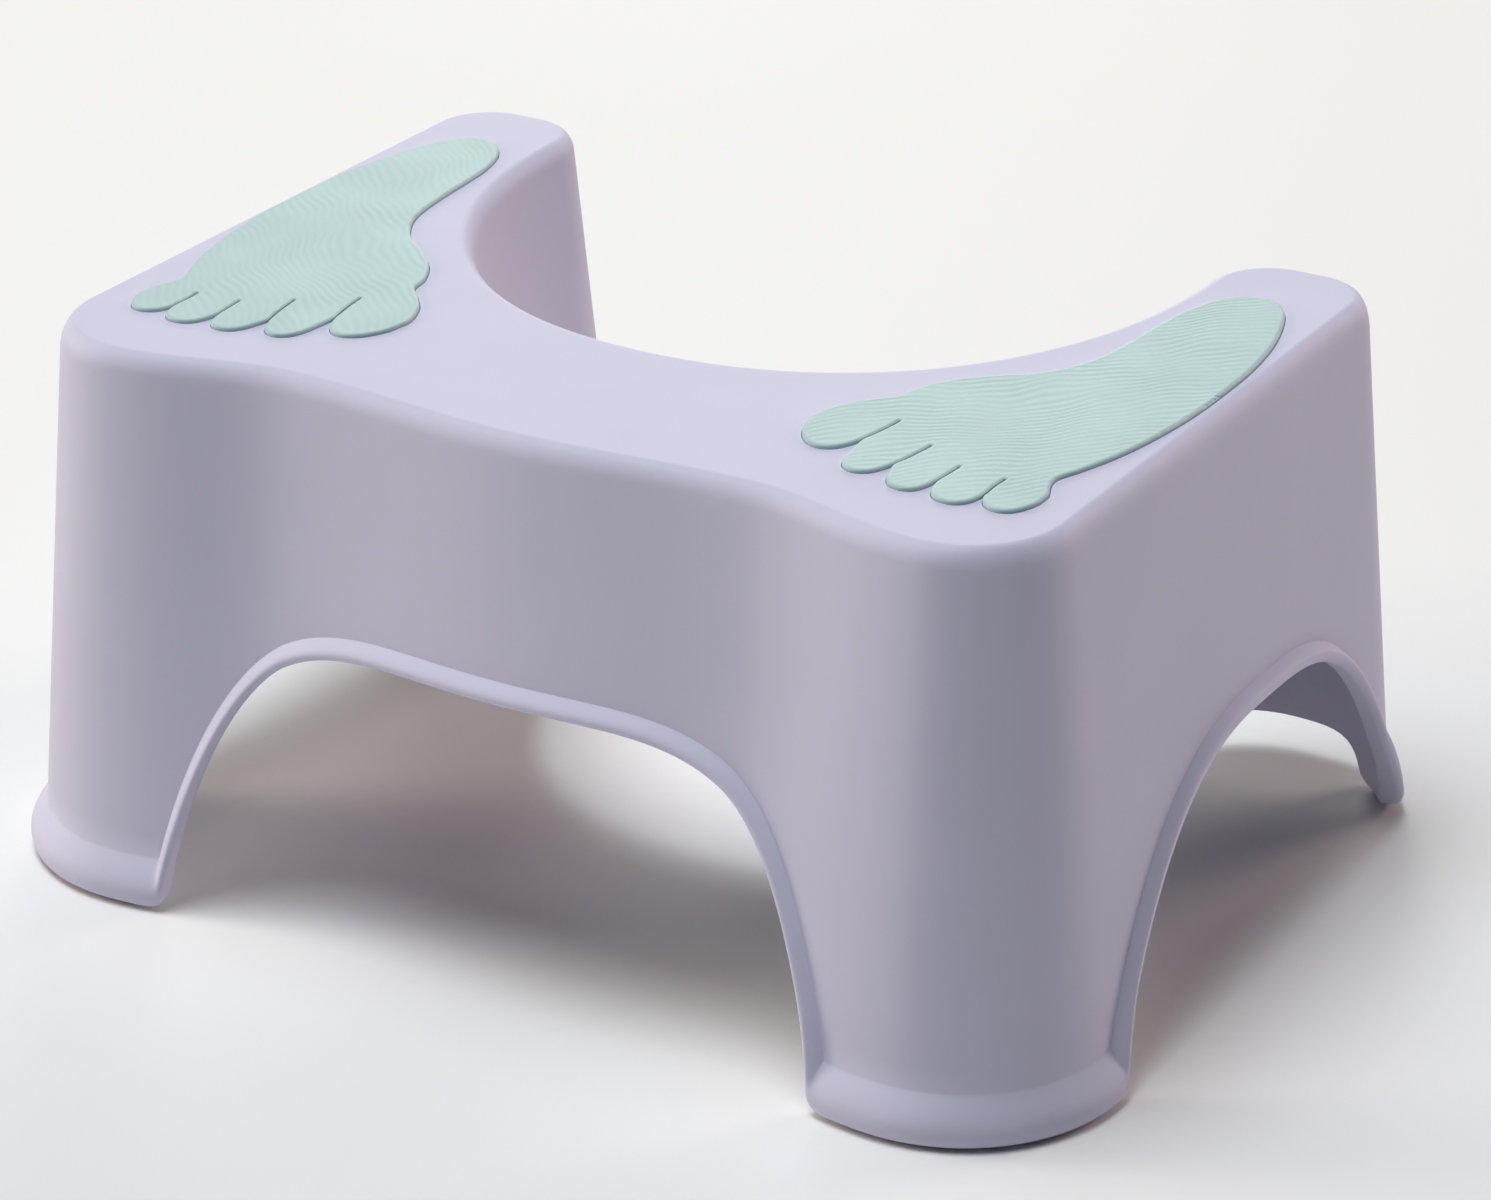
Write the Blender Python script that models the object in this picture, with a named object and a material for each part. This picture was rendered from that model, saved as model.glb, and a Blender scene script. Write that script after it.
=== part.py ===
"""Toilet footstool: a one-piece moulded shell on four corner legs, two foot-shaped grip mats, four grip pads.

Frame: metres, +Z up, origin on the floor under the middle of the stool.
-Y is the long front wall, +Y the open side that goes round the toilet bowl.
Left and right are those of the user, who sits at +Y and faces -Y, so left is +X.

The shell's wall is laid out on an unrolled sheet: s runs along the deck's outline from the front's
centre to the notch's centre, and z is the height. Every ring of the shell is a curve on that sheet,
wrapped back round the outline with a run outward that grows towards the floor.
"""
import math

import bmesh
import bpy
import numpy as np

# Overall form of the shell
HEIGHT = 0.175
TOP_WIDTH = 0.337
TOP_DEPTH = 0.2402
WALL_FLARE = 0.016
WALL = 0.003
DECK = 0.0038
EDGE_RADIUS = 0.004
INNER_FILLET = 0.0025

# Plan of the deck
FRONT_CORNER_RADIUS = 0.0325
BACK_CORNER_RADIUS = 0.021
TIP_RADIUS = 0.021
COLUMN_PROUD = 0.0055
GROOVE_DEPTH = 0.0052
GROOVE_PLACE_SHARE = 0.565
HORN_WIDTH = 0.05065
NOTCH_WIDTH = TOP_WIDTH - 2 * HORN_WIDTH
NOTCH_DEPTH = 0.157
NOTCH_STRAIGHT = 0.0216
NOTCH_ROUNDNESS = 2.15

# Openings under the walls, along the outline of the deck
FRONT_LEG_WIDTH = 0.0489
FRONT_ARCH_WIDTH = TOP_WIDTH - 2 * FRONT_LEG_WIDTH
FRONT_ARCH_HEIGHT = 0.095
SIDE_ARCH_WIDTH = 0.1936
SIDE_ARCH_HEIGHT = 0.081
SIDE_ARCH_CENTRE = 0.0121
BACK_ARCH_HEIGHT = 0.062
BACK_HEM_HEIGHT = 0.016
BACK_LEG_WIDTH = 0.012
BACK_RISE_SHARE = 0.86

# Shape of the openings: how square each shoulder is, and how upright its foot
FRONT_SHOULDER = 4.5
SIDE_FRONT_SHOULDER = 2.35
SIDE_BACK_SHOULDER = 3.6
FRONT_UPRIGHT = 1.32
SIDE_UPRIGHT = 1.2
BACK_SHOULDER = 70.0
BACK_UPRIGHT = 2.0
BACK_CROWN = 1.4

# Rim round every opening and the thick bead round each foot
LIP_WIDTH = 0.0072
FRONT_LIP_SHARE = 0.68
LIP_PROUD = 0.0036
BEAD_HEIGHT = 0.0172
BEAD_PROUD = 0.0052
BEAD_BLEND = 0.03
RIM_CORNER = 0.005
CORNER_LIMIT_SHARE = 0.3
RIM_SECTION_SHARES = (
    (1.0, 0.0), (0.9, 0.1), (0.77, 0.4), (0.58, 0.8), (0.36, 1.0), (0.12, 0.84), (0.0, 0.5),
)

# Ribs under the deck
RIB_THICKNESS = 0.0022
RIB_DROP = 0.011
RIB_PITCH = 0.046

# Grip mats, whose heels lie on the horns
MAT_LENGTH = 0.1815
MAT_WIDTH = 0.093
MAT_SIDE_MARGIN = 0.0055
MAT_NOTCH_MARGIN = 0.003765
MAT_MIDDLE = -0.00165
MAT_PROUD = 0.0012
MAT_CHAMFER = 0.0006
RECESS_DEPTH = 0.0014
MAT_SLIT = 0.0012
STUD_DIAMETER = 0.005
STUD_REACH = 0.002
STUD_RIB_GAP = 0.001

# Grip pads under the feet
PAD_PROUD = 0.001
PAD_GROOVE_DEPTH = 0.003
PAD_GROOVE_WIDTH = 0.0032
FRONT_PAD_MARGIN = 0.009
BACK_PAD_MARGIN = 0.003

# Clearances
CLEARANCE = 0.0003
OVERRUN = 0.004

# The outline of the mat for the left foot, as shares of its width from the inner side and of its
# length from the toes. The sole runs from the little toe up round the heel and down to the big toe.
SOLE_SHARES = (
    (0.896, 0.1), (0.86, 0.155), (0.896, 0.21), (0.94, 0.285), (0.972, 0.369), (0.996, 0.482), (1.0, 0.605),
    (0.992, 0.714), (0.962, 0.822), (0.91, 0.915), (0.86, 0.966), (0.79, 0.993), (0.7, 0.982), (0.63, 0.936),
    (0.588, 0.862), (0.57, 0.773), (0.555, 0.684), (0.522, 0.596), (0.44, 0.522), (0.32, 0.469), (0.225, 0.418),
    (0.168, 0.362), (0.152, 0.322), (0.1, 0.292), (0.038, 0.25), (0.002, 0.2),
)
# The heel's inner side as a share of the mat's width, and where the mat turns from ball to heel
HEEL_INNER_SHARE = 0.555
HEEL_FROM_SHARE = 0.45
HEEL_TO_SHARE = 0.75
# Centre and radius of each toe's tip, from the big toe outwards
TOE_SHARES = (
    (0.125, 0.157, 0.125), (0.325, 0.0765, 0.074), (0.484, 0.051, 0.078), (0.648, 0.042, 0.078), (0.82, 0.052, 0.08),
)
# Inner end of each slit between two toes
SLIT_SHARES = ((0.252, 0.235), (0.42, 0.172), (0.572, 0.125), (0.732, 0.118))
# Studs under the mat, each moved beside a rib that it would meet
STUD_SHARES = ((0.77, 0.86), (0.79, 0.5), (0.4, 0.3))

# How finely the shapes are divided
FRONT_ARCH_COLUMNS = 15
SIDE_ARCH_COLUMNS = 22
BACK_ARCH_COLUMNS = 38
FRONT_FOOT_COLUMNS = 9
BACK_FOOT_COLUMNS = 3
CORNER_COLUMNS = 3
TOE_POINTS = 11
VALLEY_LEAN = 22
WALL_RINGS = 3
EDGE_RINGS = 4
DENSE = 240
EVEN_SHARE = 0.45
SAME_PLACE_SHARE = 0.001
CURVE_STEPS = 4
STUD_SIDES = 16
SPREAD_LIMIT = 0.7
SHARP_ANGLE = 35.0


def clear_scene():
    for thing in list(bpy.data.objects):
        bpy.data.objects.remove(thing)


def make_material(name, colour, roughness):
    material = bpy.data.materials.new(name)
    material.use_nodes = True
    shader = material.node_tree.nodes["Principled BSDF"]
    shader.inputs["Base Color"].default_value = (*colour, 1.0)
    shader.inputs["Roughness"].default_value = roughness
    shader.inputs["Metallic"].default_value = 0.0
    return material


def smooth_share(value, start, end):
    """0 before start, 1 after end, and a smooth step between them."""
    share = np.clip((value - start) / (end - start), 0.0, 1.0)
    return share * share * (3.0 - 2.0 * share)


def arc(centre, radius, start, end, count=DENSE):
    """Points of a circular arc, angles in degrees."""
    angles = np.radians(np.linspace(start, end, count))
    return np.column_stack([centre[0] + radius * np.cos(angles), centre[1] + radius * np.sin(angles)])


def lengths_along(points):
    steps = np.hypot(*np.diff(points, axis=0).T)
    return np.concatenate([[0.0], np.cumsum(steps)])


def smooth_curve(points, steps):
    """Open Catmull-Rom curve through the points."""
    points = np.asarray(points, float)
    ends = np.vstack([2 * points[0] - points[1], points, 2 * points[-1] - points[-2]])
    found = []
    for before, start, end, after in zip(ends[:-3], ends[1:-2], ends[2:-1], ends[3:]):
        for t in np.arange(steps) / steps:
            found.append(0.5 * (2 * start + (end - before) * t + (2 * before - 5 * start + 4 * end - after) * t ** 2
                                + (3 * start - before - 3 * end + after) * t ** 3))
    found.append(points[-1])
    return np.array(found)


class Outline:
    """The deck's outline with sharp edges, from the front's centre round the left side to the notch's centre."""

    def __init__(self):
        half_width, half_depth = TOP_WIDTH / 2, TOP_DEPTH / 2
        corner_x = half_width - FRONT_CORNER_RADIUS
        groove_x = corner_x * GROOVE_PLACE_SHARE
        middle_y = -half_depth + COLUMN_PROUD
        groove_y = middle_y + GROOVE_DEPTH
        front = self.wave(0.0, groove_x, middle_y, groove_y)
        column = self.wave(groove_x, corner_x, groove_y, -half_depth)
        front_corner = arc((corner_x, -half_depth + FRONT_CORNER_RADIUS), FRONT_CORNER_RADIUS, -90, 0)
        back_corner = arc((half_width - BACK_CORNER_RADIUS, half_depth - BACK_CORNER_RADIUS),
                          BACK_CORNER_RADIUS, 0, 90)
        notch_x = NOTCH_WIDTH / 2
        tip = arc((notch_x + TIP_RADIUS, half_depth - TIP_RADIUS), TIP_RADIUS, 90, 180)
        notch = self.notch(notch_x, half_depth - NOTCH_STRAIGHT, NOTCH_DEPTH - NOTCH_STRAIGHT)
        points = np.vstack([front, column, front_corner, back_corner, tip, notch])
        apart = np.hypot(*np.diff(points, axis=0).T) > CLEARANCE * SAME_PLACE_SHARE
        self.points = points[np.concatenate([[True], apart])]
        self.run = lengths_along(self.points)
        self.length = self.run[-1]
        tangents = np.gradient(self.points, self.run, axis=0)
        tangents[0] = (1.0, 0.0)
        tangents[-1] = (-1.0, 0.0)
        tangents /= np.hypot(*tangents.T)[:, None]
        self.normals = np.column_stack([tangents[:, 1], -tangents[:, 0]])
        self.side_start = self.place_of(half_width, -half_depth + FRONT_CORNER_RADIUS)

    @staticmethod
    def wave(x0, x1, y0, y1):
        share = np.linspace(0.0, 1.0, DENSE)
        return np.column_stack([x0 + (x1 - x0) * share, y0 + (y1 - y0) * (1 - np.cos(math.pi * share)) / 2])

    @staticmethod
    def notch(half_width, top, depth):
        angles = np.linspace(math.pi / 2, 0.0, DENSE)
        power = 2.0 / NOTCH_ROUNDNESS
        return np.column_stack([half_width * np.sin(angles) ** power, top - depth * np.cos(angles) ** power])

    def place_of(self, x, y):
        return float(self.run[np.argmin(np.hypot(self.points[:, 0] - x, self.points[:, 1] - y))])

    def wrap(self, s, z, out):
        """World points of places on the unrolled sheet, out being how far they stand off the drafted wall."""
        s, z, out = np.broadcast_arrays(np.asarray(s, float), z, out)
        mirrored = s > self.length
        place = np.where(mirrored, 2 * self.length - s, s)
        base = np.column_stack([np.interp(place, self.run, self.points[:, k]) for k in (0, 1)])
        normal = np.column_stack([np.interp(place, self.run, self.normals[:, k]) for k in (0, 1)])
        normal /= np.hypot(*normal.T)[:, None]
        offset = out + WALL_FLARE * (1.0 - z / HEIGHT)
        flat = base + normal * offset[:, None]
        flat[:, 0] = np.where(mirrored, -flat[:, 0], flat[:, 0])
        return np.column_stack([flat, z])


class Rim:
    """The lower edge of the walls on the unrolled sheet, at a share of the rim's width above the edge."""

    def __init__(self, outline):
        self.outline = outline
        self.side_centre = outline.side_start + SIDE_ARCH_CENTRE + TOP_DEPTH / 2 - FRONT_CORNER_RADIUS
        self.front_end = FRONT_ARCH_WIDTH / 2
        self.side_from = self.side_centre - SIDE_ARCH_WIDTH / 2
        self.side_to = self.side_centre + SIDE_ARCH_WIDTH / 2
        self.back_from = self.side_to + BACK_LEG_WIDTH
        self.back_half = outline.length - self.back_from
        self.squeeze = BACK_CORNER_RADIUS / (BACK_CORNER_RADIUS + WALL_FLARE)

    @staticmethod
    def arch(half_width, height, shoulder, upright, floor):
        """Points from the crown of an arch down to the floor line, as distance from its centre and height."""
        across = np.sin(np.linspace(0.0, math.pi / 2, DENSE))
        up = height * (1.0 - across ** shoulder) ** (1.0 / upright)
        end = float(np.interp(-floor, -up, across))
        keep = up > floor
        return np.column_stack([np.append(across[keep], end) * half_width, np.append(up[keep], floor)])

    def back_arch(self, inset, floor):
        """The back opening: low along the horns' tips, rising to its crown in the notch."""
        half_width = self.back_half + inset * self.squeeze
        across = np.sin(np.linspace(0.0, math.pi / 2, DENSE))
        rise = np.clip(across / BACK_RISE_SHARE, 0.0, 1.0) ** BACK_CROWN
        body = BACK_HEM_HEIGHT + (BACK_ARCH_HEIGHT - BACK_HEM_HEIGHT) * (1 + np.cos(math.pi * rise)) / 2
        up = (body + inset) * (1.0 - across ** BACK_SHOULDER) ** (1.0 / BACK_UPRIGHT)
        end = float(np.interp(-floor, -up, across))
        keep = up > floor
        return np.column_stack([np.append(across[keep], end) * half_width, np.append(up[keep], floor)])

    def curve(self, share):
        """The rim's half curve (s, z) from the front's centre to the notch's centre."""
        inset = LIP_WIDTH * share
        floor = PAD_PROUD + BEAD_HEIGHT * share
        front = self.arch(self.front_end + inset * FRONT_LIP_SHARE, FRONT_ARCH_HEIGHT + inset,
                          FRONT_SHOULDER, FRONT_UPRIGHT, floor)
        half_side = SIDE_ARCH_WIDTH / 2
        side_height = SIDE_ARCH_HEIGHT + inset
        before = self.arch(half_side + inset, side_height, SIDE_FRONT_SHOULDER, SIDE_UPRIGHT, floor)
        behind = self.arch(half_side + inset * self.squeeze, side_height, SIDE_BACK_SHOULDER, SIDE_UPRIGHT, floor)
        side = np.vstack([before[::-1] * (-1, 1), behind[1:]]) + (self.side_centre, 0.0)
        back = self.back_arch(inset, floor)[::-1] * (-1, 1) + (self.outline.length, 0.0)
        front_foot = np.linspace(front[-1], side[0], DENSE)
        back_foot = np.linspace(side[-1], back[0], DENSE)
        pieces = [front, front_foot, side, back_foot, back]
        counts = [FRONT_ARCH_COLUMNS, FRONT_FOOT_COLUMNS, SIDE_ARCH_COLUMNS, BACK_FOOT_COLUMNS, BACK_ARCH_COLUMNS]
        corner = max(RIM_CORNER * (1.0 - share), CLEARANCE)
        return self.join(pieces, counts, corner)

    @staticmethod
    def join(pieces, counts, corner):
        """One curve of the pieces, each meeting of two being rounded."""
        trimmed = []
        for index, piece in enumerate(pieces):
            run = lengths_along(piece)
            cut = min(corner, run[-1] * CORNER_LIMIT_SHARE)
            first = cut if index > 0 else 0.0
            last = run[-1] - cut if index < len(pieces) - 1 else run[-1]
            places = np.linspace(first, last, counts[index])
            trimmed.append(np.column_stack([np.interp(places, run, column) for column in piece.T]))
        found = [trimmed[0]]
        for index in range(1, len(pieces)):
            start, meeting, end = trimmed[index - 1][-1], pieces[index][0], trimmed[index][0]
            t = (np.arange(CORNER_COLUMNS) + 1)[:, None] / (CORNER_COLUMNS + 1)
            found.append((1 - t) ** 2 * start + 2 * t * (1 - t) * meeting + t ** 2 * end)
            found.append(trimmed[index])
        return np.vstack(found)


def both_halves(half, length):
    """The whole ring from its half: the second half runs back to the front's centre on the other side."""
    other = half[1:-1][::-1].copy()
    other[:, 0] = 2 * length - other[:, 0]
    return np.vstack([half, other])


def build_mesh(name, rings, cap_first=True, cap_last=True):
    """A closed body whose rings all have the same number of points."""
    mesh = bpy.data.meshes.new(name)
    work = bmesh.new()
    loops = [[work.verts.new(point) for point in ring] for ring in rings]
    for upper, lower in zip(loops[:-1], loops[1:]):
        for index in range(len(upper)):
            after = (index + 1) % len(upper)
            work.faces.new((upper[index], lower[index], lower[after], upper[after]))
    if cap_first:
        work.faces.new(loops[0])
    if cap_last:
        work.faces.new(loops[-1])
    bmesh.ops.recalc_face_normals(work, faces=work.faces)
    bmesh.ops.triangulate(work, faces=[face for face in work.faces if len(face.verts) > 4])
    work.to_mesh(mesh)
    work.free()
    return mesh


def add_object(name, mesh, material=None):
    thing = bpy.data.objects.new(name, mesh)
    bpy.context.collection.objects.link(thing)
    if material is not None:
        mesh.materials.append(material)
    return thing


def add_cutter(name, mesh):
    cutter = add_object(name, mesh)
    cutter.hide_render = True
    cutter.display_type = "WIRE"
    return cutter


def combine(thing, tool, operation):
    modifier = thing.modifiers.new(tool.name, "BOOLEAN")
    modifier.object = tool
    modifier.operation = operation
    modifier.solver = "EXACT"


def shade_round(thing):
    thing.data.shade_smooth()
    thing.data.set_sharp_from_angle(angle=math.radians(SHARP_ANGLE))


def shell_rings(outline, rim):
    """Rings from the deck's flat, over the edge, down the wall and rim, and up the inner skin."""
    length = outline.length
    inner_curve = both_halves(rim.curve(1.0), length)
    edge_curve = both_halves(rim.curve(0.0), length)
    even = np.linspace(0.0, 2 * length, len(inner_curve), endpoint=False)
    top_s = inner_curve[:, 0] * (1 - EVEN_SHARE) + even * EVEN_SHARE
    rings = []
    for angle in np.linspace(90.0, 0.0, EDGE_RINGS + 1):
        turn = math.radians(angle)
        out = -EDGE_RADIUS * (1 - math.cos(turn))
        rings.append(outline.wrap(top_s, HEIGHT - EDGE_RADIUS * (1 - math.sin(turn)), out))
    wall_top = np.column_stack([top_s, np.full(len(top_s), HEIGHT - EDGE_RADIUS)])
    for share in np.linspace(0.0, 1.0, WALL_RINGS + 2)[1:-1]:
        ring = wall_top * (1 - share) + inner_curve * share
        rings.append(outline.wrap(ring[:, 0], ring[:, 1], 0.0))
    near_floor = 1.0 - smooth_share(edge_curve[:, 1], PAD_PROUD, PAD_PROUD + BEAD_BLEND)
    proud = LIP_PROUD + (BEAD_PROUD - LIP_PROUD) * near_floor
    for share, out_share in RIM_SECTION_SHARES:
        ring = both_halves(rim.curve(share), length)
        rings.append(outline.wrap(ring[:, 0], ring[:, 1], proud * out_share))
    inner_top = np.column_stack([top_s, np.full(len(top_s), HEIGHT - DECK - INNER_FILLET)])
    for share in np.linspace(0.0, 1.0, WALL_RINGS + 1):
        ring = edge_curve * (1 - share) + inner_top * share
        rings.append(outline.wrap(ring[:, 0], ring[:, 1], -WALL))
    rings.append(outline.wrap(top_s, HEIGHT - DECK, -WALL - INNER_FILLET))
    return rings


def build_boxes(name, boxes):
    """Separate boxes in one mesh, each given by its lowest and highest corners."""
    mesh = bpy.data.meshes.new(name)
    work = bmesh.new()
    for low, high in boxes:
        made = bmesh.ops.create_cube(work, size=1.0)["verts"]
        for vert in made:
            for axis in range(3):
                middle = (low[axis] + high[axis]) / 2
                vert.co[axis] = middle + vert.co[axis] * (high[axis] - low[axis])
    work.to_mesh(mesh)
    work.free()
    return mesh


def rib_places(span):
    """Middles of the ribs that fit in a span, set out from its centre."""
    count = int(span / RIB_PITCH)
    return [RIB_PITCH * (index - (count - 1) / 2) for index in range(count)]


def beside_ribs(place, span):
    """The place of a stud, moved beside the nearest rib if its hole would meet it."""
    nearest = min(rib_places(span), key=lambda rib: abs(rib - place))
    apart = RIB_THICKNESS / 2 + STUD_DIAMETER / 2 + CLEARANCE + STUD_RIB_GAP
    if abs(place - nearest) >= apart:
        return place
    return nearest + math.copysign(apart, place - nearest)


def add_ribs(shell, outline):
    """Crossing ribs that hang from the deck and run into the walls."""
    bottom = HEIGHT - DECK - RIB_DROP
    top = HEIGHT - DECK / 2
    places = np.linspace(0.0, 2 * outline.length, 2 * DENSE, endpoint=False)
    core_rings = [outline.wrap(places, level, -WALL / 2) for level in (top, bottom - RIB_DROP)]
    core = add_cutter("rib_limits", build_mesh("rib_limits", core_rings))
    reach_x, reach_y = TOP_WIDTH / 2 + WALL_FLARE, TOP_DEPTH / 2 + WALL_FLARE
    half = RIB_THICKNESS / 2
    lengthwise = [((x - half, -reach_y, bottom), (x + half, reach_y, top)) for x in rib_places(TOP_WIDTH)]
    crosswise = [((-reach_x, y - half, bottom), (reach_x, y + half, top)) for y in rib_places(TOP_DEPTH)]
    for name, boxes in (("lengthwise_ribs", lengthwise), ("crosswise_ribs", crosswise)):
        ribs = add_cutter(name, build_boxes(name, boxes))
        combine(ribs, core, "INTERSECT")
        combine(shell, ribs, "UNION")


def mat_point(u, v):
    """World place of a share of the left mat's width and length."""
    outer = TOP_WIDTH / 2 - MAT_SIDE_MARGIN
    heel_width = (HORN_WIDTH - MAT_SIDE_MARGIN - MAT_NOTCH_MARGIN) / (1.0 - HEEL_INNER_SHARE)
    width = MAT_WIDTH + (heel_width - MAT_WIDTH) * smooth_share(v, HEEL_FROM_SHARE, HEEL_TO_SHARE)
    return np.array([outer - width * (1.0 - u), MAT_MIDDLE + MAT_LENGTH * (v - 1 / 2)])


def mat_outline(grow, slits):
    """The left mat's outline, grown by a clearance; without slits the toes' valleys stay shallow."""
    sole = smooth_curve([mat_point(u, v) for u, v in SOLE_SHARES], CURVE_STEPS)
    pieces = [grown(sole, grow)]
    last = len(TOE_SHARES) - 1
    for index, (u, v, radius_share) in enumerate(TOE_SHARES):
        end = 360 if slits or index == last else 360 - VALLEY_LEAN
        pieces.append(arc(mat_point(u, v), radius_share * MAT_WIDTH + grow, 180, end, TOE_POINTS))
        if slits and index < last:
            root = mat_point(*SLIT_SHARES[index])
            half = np.array([MAT_SLIT / 2, 0.0])
            pieces.append(np.array([root - half, root + (0.0, MAT_SLIT / 2), root + half]))
    return np.vstack(pieces)


def grown(points, amount):
    """An open curve moved out to its right-hand side, the outer side of a counter-clockwise outline."""
    tangents = np.gradient(points, axis=0)
    tangents /= np.hypot(*tangents.T)[:, None]
    return points + np.column_stack([tangents[:, 1], -tangents[:, 0]]) * amount


def shrunk(points, amount):
    """A closed counter-clockwise outline moved inwards."""
    before, after = np.roll(points, 1, axis=0), np.roll(points, -1, axis=0)
    enter, leave = points - before, after - points
    enter /= np.hypot(*enter.T)[:, None]
    leave /= np.hypot(*leave.T)[:, None]
    inward = np.column_stack([-enter[:, 1] - leave[:, 1], enter[:, 0] + leave[:, 0]])
    inward /= np.hypot(*inward.T)[:, None]
    spread = np.abs(enter[:, 0] * inward[:, 1] - enter[:, 1] * inward[:, 0])
    return points + inward * (amount / np.maximum(spread, SPREAD_LIMIT))[:, None]


def layer(points, z, side):
    """A flat outline at a height, mirrored for the right foot."""
    ring = np.column_stack([points[:, 0] * side, points[:, 1], np.full(len(points), z)])
    return ring if side > 0 else ring[::-1]


def stud_mesh(name, radius, low, high, side):
    """The round studs of one mat, or the holes for them, as separate upright cylinders."""
    mesh = bpy.data.meshes.new(name)
    work = bmesh.new()
    for u, v in STUD_SHARES:
        x, y = mat_point(u, v)
        x, y = beside_ribs(x, TOP_WIDTH), beside_ribs(y, TOP_DEPTH)
        made = bmesh.ops.create_cone(work, cap_ends=True, segments=STUD_SIDES, radius1=radius, radius2=radius,
                                     depth=high - low)["verts"]
        bmesh.ops.translate(work, verts=made, vec=(x * side, y, (low + high) / 2))
    bmesh.ops.triangulate(work, faces=[face for face in work.faces if len(face.verts) > 4])
    work.to_mesh(mesh)
    work.free()
    return mesh


def add_mat(name, side, shell, material):
    """One mat with its studs, the recess that holds it and the holes that its studs pass."""
    outline = mat_outline(0.0, True)
    floor = HEIGHT - RECESS_DEPTH
    low, high = floor + CLEARANCE, HEIGHT + MAT_PROUD
    rings = [layer(shrunk(outline, MAT_CHAMFER), high, side), layer(outline, high - MAT_CHAMFER, side),
             layer(outline, low, side)]
    mat = add_object(name, build_mesh(name, rings), material)
    stud_low = HEIGHT - DECK - STUD_REACH
    studs = add_cutter(name + "_studs", stud_mesh(name + "_studs", STUD_DIAMETER / 2, stud_low,
                                                  (low + high) / 2, side))
    combine(mat, studs, "UNION")
    recess_outline = mat_outline(CLEARANCE, False)
    recess_rings = [layer(recess_outline, HEIGHT + OVERRUN, side), layer(recess_outline, floor, side)]
    recess = add_cutter(name + "_recess", build_mesh(name + "_recess", recess_rings))
    combine(shell, recess, "DIFFERENCE")
    holes = add_cutter(name + "_holes", stud_mesh(name + "_holes", STUD_DIAMETER / 2 + CLEARANCE,
                                                  stud_low - CLEARANCE, HEIGHT, side))
    combine(shell, holes, "DIFFERENCE")
    return mat


def strip_mesh(name, outline, start, end, half_width, low, high, side):
    """A strip that follows the outline under a foot, between two places along it."""
    places = np.linspace(start, end, 2 * FRONT_FOOT_COLUMNS)
    if side < 0:
        places = 2 * outline.length - places[::-1]
    middle = (BEAD_PROUD * RIM_SECTION_SHARES[-1][1] - WALL) / 2
    outer = outline.wrap(places, 0.0, middle + half_width)
    inner = outline.wrap(places, 0.0, middle - half_width)
    ring = np.vstack([outer, inner[::-1]])
    rings = []
    for level in (high, low):
        ring = ring.copy()
        ring[:, 2] = level
        rings.append(ring)
    return build_mesh(name, rings)


def add_pad(name, outline, start, end, side, shell, material):
    """One grip pad and the groove that holds it."""
    groove_top = PAD_PROUD + PAD_GROOVE_DEPTH
    half = PAD_GROOVE_WIDTH / 2
    groove = add_cutter(name + "_groove", strip_mesh(name + "_groove", outline, start, end, half,
                                                     -OVERRUN, groove_top, side))
    combine(shell, groove, "DIFFERENCE")
    mesh = strip_mesh(name, outline, start + CLEARANCE, end - CLEARANCE, half - CLEARANCE,
                      0.0, groove_top - CLEARANCE, side)
    return add_object(name, mesh, material)


def main():
    clear_scene()
    plastic = make_material("lavender_plastic", (0.66, 0.65, 0.78), 0.34)
    mint = make_material("mint_rubber", (0.5, 0.72, 0.63), 0.62)
    grip = make_material("pad_rubber", (0.62, 0.61, 0.66), 0.75)
    outline = Outline()
    rim = Rim(outline)
    shell = add_object("stool_shell", build_mesh("stool_shell", shell_rings(outline, rim)), plastic)
    shade_round(shell)
    add_ribs(shell, outline)
    for name, side in (("left_foot_mat", 1), ("right_foot_mat", -1)):
        shade_round(add_mat(name, side, shell, mint))
    front = (rim.front_end + FRONT_PAD_MARGIN, rim.side_from - FRONT_PAD_MARGIN)
    back = (rim.side_to + BACK_PAD_MARGIN, rim.back_from - BACK_PAD_MARGIN)
    for end, (start, stop) in (("front", front), ("back", back)):
        for hand, side in (("left", 1), ("right", -1)):
            pad = add_pad(f"{end}_{hand}_foot_pad", outline, start, stop, side, shell, grip)
            shade_round(pad)


main()
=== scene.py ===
"""Toilet footstool: the finished surfaces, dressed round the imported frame.

Frame: metres, +Z up, origin on the floor under the middle of the stool, -Y out through the long front wall.
Left is +X, the left of the user, who sits at +Y and faces -Y.

A moulded shell, two rippled grip mats and four grip pads each replace their plain solid. The shell's wall is
laid out on an unrolled sheet: s runs along the deck's outline from the front's centre to the notch's centre,
z is the height, and every ring of the shell is a curve on that sheet wrapped back round the outline.
"""

import logging
import math
from dataclasses import dataclass, field
from enum import Enum
from typing import Any, Callable, Iterator, Sequence

import bmesh
import bpy
import numpy as np
from mathutils import Matrix, Vector
from mathutils.geometry import delaunay_2d_cdt


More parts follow.
